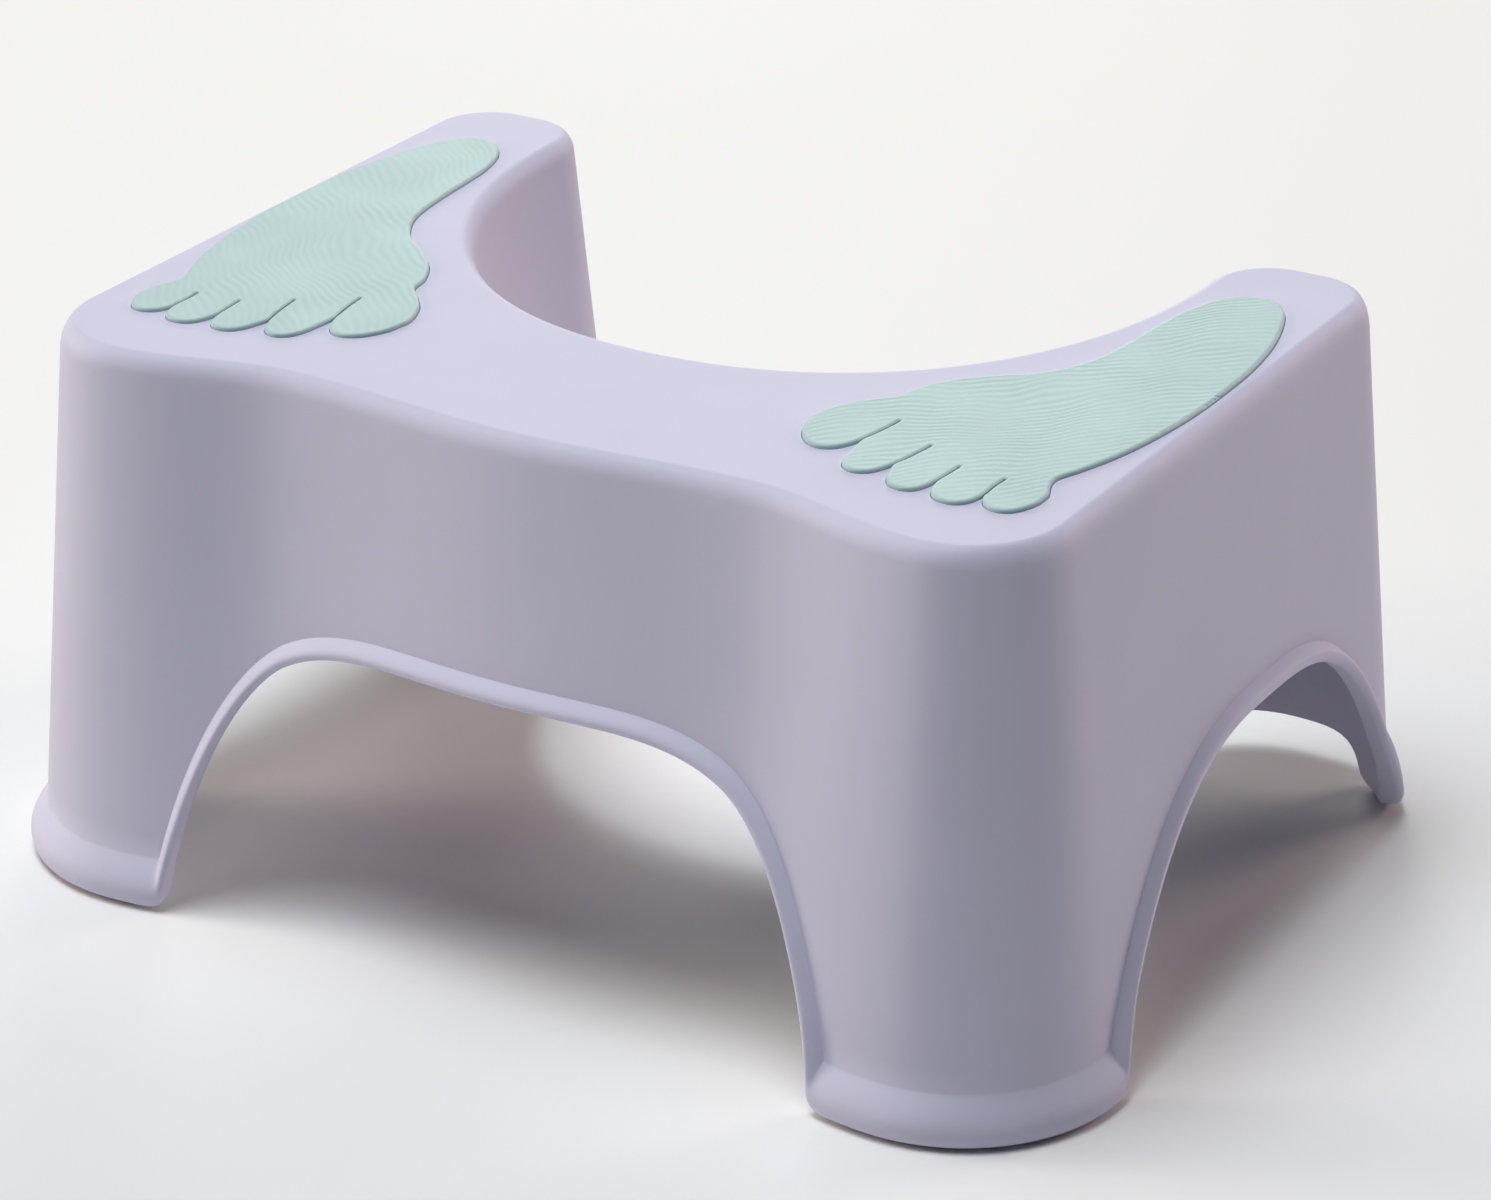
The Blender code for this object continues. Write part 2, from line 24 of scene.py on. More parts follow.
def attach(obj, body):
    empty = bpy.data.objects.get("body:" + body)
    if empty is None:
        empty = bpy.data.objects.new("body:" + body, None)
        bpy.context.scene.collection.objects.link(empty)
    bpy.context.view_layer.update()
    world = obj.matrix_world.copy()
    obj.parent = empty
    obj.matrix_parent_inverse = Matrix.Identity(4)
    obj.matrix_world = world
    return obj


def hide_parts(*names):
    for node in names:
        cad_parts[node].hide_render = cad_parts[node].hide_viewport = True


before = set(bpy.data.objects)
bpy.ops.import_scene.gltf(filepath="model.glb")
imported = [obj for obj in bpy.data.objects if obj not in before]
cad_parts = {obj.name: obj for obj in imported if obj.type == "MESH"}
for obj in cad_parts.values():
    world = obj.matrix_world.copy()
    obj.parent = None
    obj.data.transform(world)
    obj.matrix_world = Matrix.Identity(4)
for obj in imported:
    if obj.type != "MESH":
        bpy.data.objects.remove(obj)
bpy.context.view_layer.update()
MM = 0.001
# A cutting tool passes the face that it cuts by SPARE, and what is within TOUCH of a level lies on it.
SPARE = 1.0 * MM
TOUCH = 0.1 * MM
# Mesh points nearer than MERGE_DISTANCE become one, and an outline's steps are longer than LEAST_STEP.
MERGE_DISTANCE = 0.001 * MM
LEAST_STEP = 0.0001 * MM
# Size of a primitive before it is shaped.
UNIT = 1.0
# Limits on the upright part of a face's normal: it points up or down, is dead level, or is a side.
FACING = 0.9
LEVEL = 0.999
SIDEWAYS = 0.2
# A moved outline's corners go no further than the move divided by this.
CORNER_LIMIT = 0.7
# How many points are measured at once.
BATCH = 2000
# The triangulation keeps what is inside the outline, and merges points nearer than its tolerance.
INSIDE_ONLY = 1
NET_TOLERANCE = 1e-7
NOISE_MIDDLE = 0.5
LOG = logging.getLogger("footstool")

Points = np.ndarray
Pair = tuple[float, float]
Triple = tuple[float, float, float]


# Choices among named options

class Side(Enum):
    """Which of the user's feet or hands a piece belongs to, as the sign of its X."""

    LEFT = 1
    RIGHT = -1


class Cut(Enum):
    """What a Boolean does with its tool."""

    ADD = "UNION"
    TAKE = "DIFFERENCE"
    KEEP = "INTERSECT"


class End(Enum):
    """Which end of the stool a grip pad is at."""

    FRONT = "front"
    BACK = "back"


# Working by hand: selection, edit mode and modifiers

def work_on(thing: bpy.types.Object) -> None:
    """Leaves one object selected and active, in object mode.

    Args:
        thing: The object.
    """
    if bpy.context.mode != "OBJECT":
        bpy.ops.object.mode_set(mode="OBJECT")
    bpy.ops.object.select_all(action="DESELECT")
    thing.select_set(True)
    bpy.context.view_layer.objects.active = thing


def fresh(name: str) -> bpy.types.Object:
    """Names the primitive that was just added.

    Args:
        name: Name of the object and its mesh.

    Returns:
        The active object.
    """
    thing = bpy.context.active_object
    thing.name = name
    thing.data.name = name
    work_on(thing)
    return thing


def settle(thing: bpy.types.Object) -> None:
    """Applies an object's place, turn and size to its mesh."""
    work_on(thing)
    bpy.ops.object.transform_apply(location=True, rotation=True, scale=True)


class EditBench:
    """Edit mode on one object, with its parts picked by a rule."""

    def __init__(self, thing: bpy.types.Object) -> None:
        """Takes the object to edit."""
        self.thing = thing

    def __enter__(self) -> "EditBench":
        """Opens edit mode with nothing selected.

        Returns:
            The bench.
        """
        work_on(self.thing)
        bpy.ops.object.mode_set(mode="EDIT")
        bpy.ops.mesh.select_all(action="DESELECT")
        return self

    def __exit__(self, *problem: Any) -> None:
        """Closes edit mode."""
        bpy.ops.object.mode_set(mode="OBJECT")

    def faces(self, rule: Callable[[bmesh.types.BMFace], bool]) -> None:
        """Selects the faces that follow a rule."""
        self.pick("FACE", rule)

    def edges(self, rule: Callable[[bmesh.types.BMEdge], bool]) -> None:
        """Selects the edges that follow a rule."""
        self.pick("EDGE", rule)

    def pick(self, kind: str, rule: Callable[[Any], bool]) -> None:
        """Selects the parts that follow a rule.

        Args:
            kind: FACE or EDGE.
            rule: Says of a part whether it is wanted.
        """
        bpy.ops.mesh.select_mode(type=kind)
        work = bmesh.from_edit_mesh(self.thing.data)
        for part in {"FACE": work.faces, "EDGE": work.edges}[kind]:
            part.select_set(rule(part))
        bmesh.update_edit_mesh(self.thing.data)

    def close(self) -> None:
        """Fills the selected borders and turns every face outwards."""
        bpy.ops.mesh.edge_face_add()
        bpy.ops.mesh.select_all(action="SELECT")
        bpy.ops.mesh.normals_make_consistent(inside=False)


def points_up(face: bmesh.types.BMFace) -> bool:
    """Whether a face points up."""
    return face.normal.z > FACING


def points_down(face: bmesh.types.BMFace) -> bool:
    """Whether a face points down."""
    return face.normal.z < -FACING


def modify(thing: bpy.types.Object, kind: str, **settings: Any) -> None:
    """Adds a modifier and applies it.

    Args:
        thing: Object that takes it.
        kind: Blender's type of modifier.
        settings: Values of the modifier.
    """
    work_on(thing)
    modifier = thing.modifiers.new(kind.title(), kind)
    for key, value in settings.items():
        setattr(modifier, key, value)
    bpy.ops.object.modifier_apply(modifier=modifier.name)


def combine(thing: bpy.types.Object, tool: bpy.types.Object, cut: Cut) -> None:
    """Combines an object with a closed tool and removes the tool.

    Args:
        thing: Closed object that is changed.
        tool: Closed object that is used up.
        cut: What is done with the tool.
    """
    modify(thing, "BOOLEAN", object=tool, operation=cut.value, solver="MANIFOLD")
    bpy.data.objects.remove(tool)


def join(things: Sequence[bpy.types.Object]) -> bpy.types.Object:
    """Joins several objects into the first.

    Args:
        things: The objects, none of which overlap.

    Returns:
        The first object, which holds them all.
    """
    work_on(things[0])
    for thing in things:
        thing.select_set(True)
    bpy.ops.object.join()
    return things[0]


def mirrored(thing: bpy.types.Object, name: str) -> bpy.types.Object:
    """Copies an object to the other side of the stool, with its own mesh and faces pointing out.

    Args:
        thing: The piece on the left.
        name: Name of the copy.

    Returns:
        The piece on the right.
    """
    work_on(thing)
    bpy.ops.object.duplicate()
    copy = fresh(name)
    with EditBench(copy):
        bpy.ops.mesh.select_all(action="SELECT")
        bpy.ops.transform.resize(value=(-1, 1, 1), center_override=(0, 0, 0))
        bpy.ops.mesh.flip_normals()
    return copy


def both_sides(left: bpy.types.Object, name: str) -> list[tuple[bpy.types.Object, Side]]:
    """A left piece and its mirrored copy, each with its side."""
    return [(left, Side.LEFT), (mirrored(left, name), Side.RIGHT)]


def placed(name: str, data: bpy.types.ID) -> bpy.types.Object:
    """Makes an object of some data and puts it in the scene.

    Args:
        name: Name of the object.
        data: Its mesh, light or camera.

    Returns:
        The object.
    """
    thing = bpy.data.objects.new(name, data)
    bpy.context.collection.objects.link(thing)
    return thing


def vectors_of(mesh: bpy.types.Mesh, kind: str) -> Points:
    """Reads one vector of each point of a mesh.

    Args:
        mesh: The mesh.
        kind: co for places, or normal.

    Returns:
        Array of points by 3.
    """
    found = np.zeros(len(mesh.vertices) * 3, np.float32)
    mesh.vertices.foreach_get(kind, found)
    return found.reshape(-1, 3)


def mark(mesh: bpy.types.Mesh, name: str, values: Points) -> None:
    """Gives each point of a mesh a number, which its material reads.

    Args:
        mesh: The mesh.
        name: Name of the number.
        values: One number for each point.
    """
    layer = mesh.attributes.new(name, "FLOAT", "POINT")
    layer.data.foreach_set("value", values.astype(np.float32))


def put_finish(thing: bpy.types.Object, smooth_angle: float, material: bpy.types.Material) -> None:
    """Shades an object smooth and gives it its material.

    Args:
        thing: The object.
        smooth_angle: Edges sharper than this stay crisp, in degrees.
        material: The material.
    """
    work_on(thing)
    bpy.ops.object.shade_smooth_by_angle(angle=math.radians(smooth_angle))
    thing.data.materials.clear()
    thing.data.materials.append(material)


def lofted(name: str, rings: Points) -> bpy.types.Object:
    """A grid whose rows are laid on closed rings of points, with its seam and both ends closed.

    Args:
        name: Name of the new object.
        rings: Array of rings by points by 3.

    Returns:
        The closed body, with its faces pointing out.
    """
    rings = np.concatenate([rings, rings[:, :1]], axis=1)
    count, around = rings.shape[:2]
    bpy.ops.object.select_all(action="DESELECT")
    bpy.ops.mesh.primitive_grid_add(x_subdivisions=around - 1, y_subdivisions=count - 1, size=UNIT)
    body = fresh(name)
    body.data.vertices.foreach_set("co", rings.astype(np.float32).ravel())
    with EditBench(body) as bench:
        bpy.ops.mesh.select_all(action="SELECT")
        bpy.ops.mesh.remove_doubles(threshold=MERGE_DISTANCE)
        bench.edges(lambda edge: edge.is_boundary)
        bench.close()
    return body


def prism(name: str, outline: Points, levels: Sequence[Pair]) -> bpy.types.Object:
    """An upright body with the same outline at every level, grown or shrunk.

    Args:
        name: Name of the new object.
        outline: Closed counter-clockwise outline.
        levels: Height and growth of each ring, from the lowest up.

    Returns:
        The closed body.
    """
    rings = [np.column_stack([shrunk(outline, -grow), np.full(len(outline), z)]) for z, grow in levels]
    return lofted(name, np.array(rings))


def cylinder(name: str, place: Sequence[float], radius: float, low: float, high: float,
             sides: int = 48) -> bpy.types.Object:
    """An upright cylinder between two heights.

    Args:
        name: Name of the new object.
        place: Its middle in plan.
        radius: Its radius.
        low: Height of its lower end.
        high: Height of its upper end.
        sides: How many sides it has.

    Returns:
        The closed body, with its place in its mesh.
    """
    bpy.ops.object.select_all(action="DESELECT")
    bpy.ops.mesh.primitive_cylinder_add(vertices=sides, radius=radius, depth=high - low,
                                        location=(place[0], place[1], (low + high) / 2))
    body = fresh(name)
    settle(body)
    return body


# Plane geometry of outlines

def smooth_share(value: Points, start: float, end: float) -> Points:
    """0 before start, 1 after end, and a smooth step between them."""
    share = np.clip((value - start) / (end - start), 0.0, 1.0)
    return share * share * (3.0 - 2.0 * share)


def arc(centre: Sequence[float], radius: float, start: float, end: float, count: int) -> Points:
    """Points of a circular arc, angles in degrees."""
    angles = np.radians(np.linspace(start, end, count))
    return np.column_stack([centre[0] + radius * np.cos(angles), centre[1] + radius * np.sin(angles)])


def lengths_along(points: Points) -> Points:
    """Distance of each point along a curve from its first point."""
    return np.concatenate([[0.0], np.cumsum(np.hypot(*np.diff(points, axis=0).T))])


def smooth_curve(points: Sequence[Sequence[float]], steps: int) -> Points:
    """Open Catmull-Rom curve.

    Args:
        points: Points that the curve passes.
        steps: How many points it has for each stretch.

    Returns:
        The points of the curve.
    """
    given = np.asarray(points, float)
    ends = np.vstack([2 * given[0] - given[1], given, 2 * given[-1] - given[-2]])
    t = (np.arange(steps) / steps)[:, None]
    found = []
    for before, start, end, after in zip(ends[:-3], ends[1:-2], ends[2:-1], ends[3:]):
        square = (2 * before - 5 * start + 4 * end - after) * t ** 2
        cube = (3 * start - before - 3 * end + after) * t ** 3
        found.append(0.5 * (2 * start + (end - before) * t + square + cube))
    return np.vstack([*found, given[-1:]])


def shrunk(points: Points, amount: float) -> Points:
    """Moves a closed counter-clockwise outline inwards.

    Args:
        points: Points of the outline.
        amount: How far it is moved; below 0 it grows.

    Returns:
        Points of the moved outline.
    """
    enter = points - np.roll(points, 1, axis=0)
    leave = np.roll(points, -1, axis=0) - points
    enter /= np.hypot(*enter.T)[:, None]
    leave /= np.hypot(*leave.T)[:, None]
    inward = np.column_stack([-enter[:, 1] - leave[:, 1], enter[:, 0] + leave[:, 0]])
    inward /= np.hypot(*inward.T)[:, None]
    spread = np.abs(enter[:, 0] * inward[:, 1] - enter[:, 1] * inward[:, 0])
    return points + inward * (amount / np.maximum(spread, CORNER_LIMIT))[:, None]


def distance_to(outline: Points, points: Points) -> Points:
    """Distance of points from a closed outline.

    Args:
        outline: Corner points of the outline.
        points: The points to measure.

    Returns:
        One distance for each point.
    """
    run = np.roll(outline, -1, axis=0) - outline
    square = (run ** 2).sum(axis=1)
    found = []
    for part in np.array_split(points, max(1, len(points) // BATCH)):
        off = part[:, None] - outline
        share = np.clip((off * run).sum(axis=2) / square, 0.0, 1.0)
        found.append(np.hypot(*np.moveaxis(off - share[..., None] * run, 2, 0)).min(axis=1))
    return np.concatenate(found)


# Shader maths

class Signal:
    """A node's output with Python's operators, each of which adds its Math node."""

    def __init__(self, bench: "MaterialBench", socket: bpy.types.NodeSocket) -> None:
        """Keeps the socket and the material that it belongs to."""
        self.bench = bench
        self.socket = socket

    def math(self, operation: str, *values: Any) -> "Signal":
        """Adds one Math node.

        Args:
            operation: Blender's name of the operation.
            values: Numbers or signals for its sockets.

        Returns:
            The node's result.
        """
        sockets = dict(enumerate(values))
        return self.bench.node("ShaderNodeMath", {"operation": operation}, sockets)

    def __add__(self, other: Any) -> "Signal":
        """This value plus another."""
        return self.math("ADD", self, other)

    __radd__ = __add__

    def __sub__(self, other: Any) -> "Signal":
        """This value less another."""
        return self.math("SUBTRACT", self, other)

    def __rsub__(self, other: Any) -> "Signal":
        """A number less this value."""
        return self.math("SUBTRACT", other, self)

    def __mul__(self, other: Any) -> "Signal":
        """This value times another."""
        return self.math("MULTIPLY", self, other)

    __rmul__ = __mul__

    def limited(self, low: float = 0.0, high: float = 1.0) -> "Signal":
        """This value kept between two numbers."""
        return self.math("MAXIMUM", self.math("MINIMUM", self, high), low)

    def step(self, start: float, end: float) -> "Signal":
        """A smooth step that is 0 at start and 1 at end, whichever is larger."""
        sockets = {"Value": self, "From Min": start, "From Max": end}
        return self.bench.node("ShaderNodeMapRange", {"interpolation_type": "SMOOTHSTEP"}, sockets)

    def swing(self, width: float) -> "Signal":
        """A noise's swing to both sides of its middle, made this wide."""
        return (self - NOISE_MIDDLE) * width


class MaterialBench:
    """The node tree of one material, with its shader at the end."""

    def __init__(self, name: str) -> None:
        """Starts an empty material.

        Args:
            name: Name of the material.
        """
        self.material = bpy.data.materials.new(name)
        self.material.use_nodes = True
        self.tree = self.material.node_tree
        self.tree.nodes.clear()

    def node(self, kind: str, settings: dict[str, Any], sockets: dict[Any, Any], output: Any = 0) -> Signal:
        """Adds any node.

        Args:
            kind: Blender's type of node.
            settings: Its settings, such as a Math node's operation.
            sockets: Values or signals of its inputs, by name or number.
            output: Name or number of the output that is returned.

        Returns:
            That output.
        """
        made = self.tree.nodes.new(kind)
        for key, value in settings.items():
            setattr(made, key, value)
        for key, value in sockets.items():
            if isinstance(value, Signal):
                self.tree.links.new(value.socket, made.inputs[key])
            else:
                made.inputs[key].default_value = value
        return Signal(self, made.outputs[output])

    def noise(self, grain: float, detail: float = 2.0, stretch: Triple = (1.0, 1.0, 1.0),
              turn: float = 0.0) -> Signal:
        """Noise with grains of a real size, on Object coordinates.

        Args:
            grain: Size of a grain in metres.
            detail: How many octaves it has.
            stretch: Scale along each axis.
            turn: Turn of the pattern about the upright, in radians.

        Returns:
            The noise, about 0.5.
        """
        raw = self.node("ShaderNodeTexCoord", {}, {}, "Object")
        placing = {"Vector": raw, "Scale": stretch, "Rotation": (0.0, 0.0, turn)}
        place = self.node("ShaderNodeMapping", {}, placing)
        sockets = {"Vector": place, "Scale": 1.0 / grain, "Detail": detail}
        return self.node("ShaderNodeTexNoise", {"noise_dimensions": "3D"}, sockets)

    def attribute(self, name: str) -> Signal:
        """A number that the piece's own points carry."""
        return self.node("ShaderNodeAttribute", {"attribute_name": name}, {}, "Fac")

    def blend(self, share: Any, first: Any, second: Any) -> Signal:
        """A colour between two others."""
        return self.node("ShaderNodeMix", {"data_type": "RGBA"}, {0: share, 6: first, 7: second}, 2)

    def cloudy(self, share: Signal, colour: Triple, spread: float, gain: float = 1.0) -> Signal:
        """A colour that wanders a little, from darker to lighter."""
        return self.blend(share, rgba(colour, gain * (1 - spread)), rgba(colour, gain * (1 + spread)))

    def bump(self, height: Signal, depth: float, under: Signal | None = None) -> Signal:
        """Raises a surface.

        Args:
            height: The height, about 0 to 1.
            depth: Its real depth in metres.
            under: A bump that this one lies on.

        Returns:
            The normal.
        """
        sockets = {"Height": height, "Distance": depth, "Strength": 1.0}
        if under is not None:
            sockets["Normal"] = under
        return self.node("ShaderNodeBump", {}, sockets)

    def finish(self, **sockets: Any) -> bpy.types.Material:
        """Ends the tree with a Principled shader.

        Args:
            sockets: Its values or signals, with _ for a space.

        Returns:
            The finished material.
        """
        named = {key.replace("_", " "): value for key, value in sockets.items()}
        shader = self.node("ShaderNodeBsdfPrincipled", {}, named)
        output = self.tree.nodes.new("ShaderNodeOutputMaterial")
        self.tree.links.new(shader.socket, output.inputs["Surface"])
        return self.material


def rgba(colour: Triple, gain: float = 1.0) -> tuple[float, float, float, float]:
    """A colour with its alpha, made lighter or darker."""
    return (colour[0] * gain, colour[1] * gain, colour[2] * gain, 1.0)


@dataclass(frozen=True)
class SatinPlastic:
    """Moulded polypropylene with a fine satin grain, cloudy to a hair, smoother where it is rubbed."""

    name: str = "satin_lavender_plastic"
    colour: Triple = (0.60, 0.585, 0.735)
    cloud: float = 0.02
    cloud_size: float = 0.075
    cloud_edges: Pair = (0.3, 0.7)
    fleck_size: float = 0.004
    fleck_edges: Pair = (0.35, 0.75)
    fleck_rough: float = 0.05
    scratch_size: float = 0.0022
    scratch_stretch: Triple = (1.0, 0.09, 1.0)
    scratch_turn: float = 0.6
    scratch_edges: Pair = (0.63, 0.74)
    scratch_rough: float = 0.05
    scuff_gain: float = 1.03
    scuff_share: float = 0.5
    rough: float = 0.6
    rough_spread: float = 0.07
    rough_limits: Pair = (0.15, 0.9)
    worn_rough: float = 0.54
    wave_size: float = 0.05
    wave_depth: float = 0.00012
    grain_size: float = 0.0007
    grain_depth: float = 0.000008
    gloss: float = 0.25
    refraction: float = 1.49

    def material(self) -> bpy.types.Material:
        """Makes the material.

        Returns:
            The material, which reads how worn each point is.
        """
        bench = MaterialBench(self.name)
        cloud = bench.noise(self.cloud_size, detail=3.0)
        fleck = bench.noise(self.fleck_size, detail=4.0)
        worn = bench.attribute("worn")
        base = bench.cloudy(cloud.step(*self.cloud_edges), self.colour, self.cloud)
        streaks = bench.noise(self.scratch_size, 5.0, self.scratch_stretch, self.scratch_turn)
        scratches = streaks.step(*self.scratch_edges)
        rubbed = (worn * fleck.step(*self.fleck_edges)).limited()
        colour = bench.blend(rubbed * self.scuff_share, base, rgba(self.colour, self.scuff_gain))
        roughness = self.rough + cloud.swing(self.rough_spread) + fleck.swing(self.fleck_rough)
        roughness = roughness + scratches * self.scratch_rough - rubbed * (self.rough - self.worn_rough)
        waves = bench.bump(bench.noise(self.wave_size, detail=1.0), self.wave_depth)
        grain = bench.bump(bench.noise(self.grain_size), self.grain_depth, waves)
        return bench.finish(Base_Color=colour, Roughness=roughness.limited(*self.rough_limits), Normal=grain,
                            IOR=self.refraction, Specular_IOR_Level=self.gloss)


@dataclass(frozen=True)
class SoftRubber:
    """Matt thermoplastic rubber: painted shade darkens its valleys and a painted highlight pales its crests,
    which are also a little smoother where feet rub them.
    """

    name: str
    colour: Triple
    rough: float = 0.58
    rough_limits: Pair = (0.3, 0.95)
    valley_shade_gain: float = 0.97
    crest_highlight_gain: float = 1.01
    crest_polish: float = 0.05
    cloud: float = 0.03
    cloud_size: float = 0.03
    cloud_edges: Pair = (0.3, 0.7)
    fleck_size: float = 0.002
    fleck_rough: float = 0.12
    grain_size: float = 0.0005
    grain_depth: float = 0.000012
    refraction: float = 1.5

    def material(self) -> bpy.types.Material:
        """Makes the material.

        Returns:
            The material, which reads the height of the ripple at each point to paint shade in the valleys and
            a highlight on the crests.
        """
        bench = MaterialBench(self.name)
        height = bench.attribute("ripple")
        cloud = bench.noise(self.cloud_size, detail=3.0).step(*self.cloud_edges)
        # Painted shade: valleys, and points with no ripple height such as a mat's side, take the darker
        # colour; painted highlight: crests take the paler one.
        low = bench.cloudy(cloud, self.colour, self.cloud, self.valley_shade_gain)
        high = bench.cloudy(cloud, self.colour, self.cloud, self.crest_highlight_gain)
        colour = bench.blend(height.limited(), low, high)
        fleck = bench.noise(self.fleck_size, detail=4.0)
        roughness = self.rough + fleck.swing(self.fleck_rough) - height * self.crest_polish
        grain = bench.bump(bench.noise(self.grain_size, detail=3.0), self.grain_depth)
        return bench.finish(Base_Color=colour, Roughness=roughness.limited(*self.rough_limits), Normal=grain,
                            IOR=self.refraction)


MINT_RUBBER = SoftRubber("mint_rubber", (0.425, 0.575, 0.58))
GREY_RUBBER = SoftRubber("grey_grip_rubber", (0.36, 0.355, 0.39), rough=0.75)


@dataclass(frozen=True)
class PaleFloor:
    """A plain pale floor, faintly uneven."""

    name: str = "pale_floor"
    colour: Triple = (0.83, 0.83, 0.83)
    cloud: float = 0.01
    cloud_size: float = 0.4
    rough: float = 0.7

    def material(self) -> bpy.types.Material:
        """Makes the material.

        Returns:
            The material.
        """
        bench = MaterialBench(self.name)
        colour = bench.cloudy(bench.noise(self.cloud_size), self.colour, self.cloud)
        return bench.finish(Base_Color=colour, Roughness=self.rough)


# The shell

@dataclass
class DeckPlan:
    """The deck's outline with sharp edges, from the front's centre round the left to the notch's centre."""

    height: float = 0.175
    top_width: float = 0.337
    top_depth: float = 0.2402
    wall_flare: float = 0.016
    front_corner_radius: float = 0.0325
    back_corner_radius: float = 0.021
    tip_radius: float = 0.021
    column_proud: float = 0.0055
    groove_depth: float = 0.0052
    groove_place_share: float = 0.565
    horn_width: float = 0.05065
    notch_depth: float = 0.157
    notch_straight: float = 0.0216
    notch_roundness: float = 2.15
    dense: int = 480
    points: Points = field(init=False)
    run: Points = field(init=False)
    normals: Points = field(init=False)
    length: float = field(init=False)
    side_start: float = field(init=False)
    side_end: float = field(init=False)

    def __post_init__(self) -> None:
        """Lays the outline out and measures it."""
        half_width, half_depth = self.top_width / 2, self.top_depth / 2
        corner_x = half_width - self.front_corner_radius
        groove_x = corner_x * self.groove_place_share
        middle_y = -half_depth + self.column_proud
        groove_y = middle_y + self.groove_depth
        radius, back, tip = self.front_corner_radius, self.back_corner_radius, self.tip_radius
        notch_x = half_width - self.horn_width
        points = np.vstack([
            self.wave(0.0, groove_x, middle_y, groove_y),
            self.wave(groove_x, corner_x, groove_y, -half_depth),
            arc((corner_x, -half_depth + radius), radius, -90, 0, self.dense),
            arc((half_width - back, half_depth - back), back, 0, 90, self.dense),
            arc((notch_x + tip, half_depth - tip), tip, 90, 180, self.dense),
            self.notch(notch_x, half_depth - self.notch_straight, self.notch_depth - self.notch_straight),
        ])
        apart = np.hypot(*np.diff(points, axis=0).T) > LEAST_STEP
        self.points = points[np.concatenate([[True], apart])]
        self.run = lengths_along(self.points)
        self.length = float(self.run[-1])
        tangents = np.gradient(self.points, self.run, axis=0)
        tangents[0] = (1.0, 0.0)
        tangents[-1] = (-1.0, 0.0)
        tangents /= np.hypot(*tangents.T)[:, None]
        self.normals = np.column_stack([tangents[:, 1], -tangents[:, 0]])
        side = np.hypot(self.points[:, 0] - half_width, self.points[:, 1] + half_depth - radius)
        self.side_start = float(self.run[np.argmin(side)])
        self.side_end = self.side_start + self.top_depth - radius - back

    def wave(self, x0: float, x1: float, y0: float, y1: float) -> Points:
        """Half a cosine wave from one place to another."""
        share = np.linspace(0.0, 1.0, self.dense)
        return np.column_stack([x0 + (x1 - x0) * share, y0 + (y1 - y0) * (1 - np.cos(math.pi * share)) / 2])

    def notch(self, half_width: float, top: float, depth: float) -> Points:
        """The left half of the notch, from its straight side to its middle.

        Args:
            half_width: Half its width.
            top: Where its straight side ends.
            depth: How much deeper it goes from there.

        Returns:
            Points in plan.
        """
        angles = np.linspace(math.pi / 2, 0.0, self.dense)
        power = 2.0 / self.notch_roundness
        return np.column_stack([half_width * np.sin(angles) ** power, top - depth * np.cos(angles) ** power])

    def folded(self, s: Points) -> Points:
        """Brings places past the outline's length, on the right half, to their mirror images on the left."""
        return np.where(s > self.length, 2 * self.length - s, s)

    def wrap(self, s: Points, z: Any, out: Any) -> Points:
        """Wraps places on the unrolled sheet back round the outline.

        Args:
            s: Places along the outline; past its length they lie on the right half.
            z: Heights.
            out: How far the places stand off the drafted wall.

        Returns:
            World points.
        """
        s, z, out = np.broadcast_arrays(np.asarray(s, float), z, out)
        place = self.folded(s)
        base = np.stack([np.interp(place, self.run, self.points[:, k]) for k in (0, 1)], axis=-1)
        normal = np.stack([np.interp(place, self.run, self.normals[:, k]) for k in (0, 1)], axis=-1)
        normal /= np.linalg.norm(normal, axis=-1)[..., None]
        offset = out + self.wall_flare * (1.0 - z / self.height)
        flat = base + normal * offset[..., None]
        flat[..., 0] = np.where(s > self.length, -flat[..., 0], flat[..., 0])
        return np.concatenate([flat, z[..., None]], axis=-1)


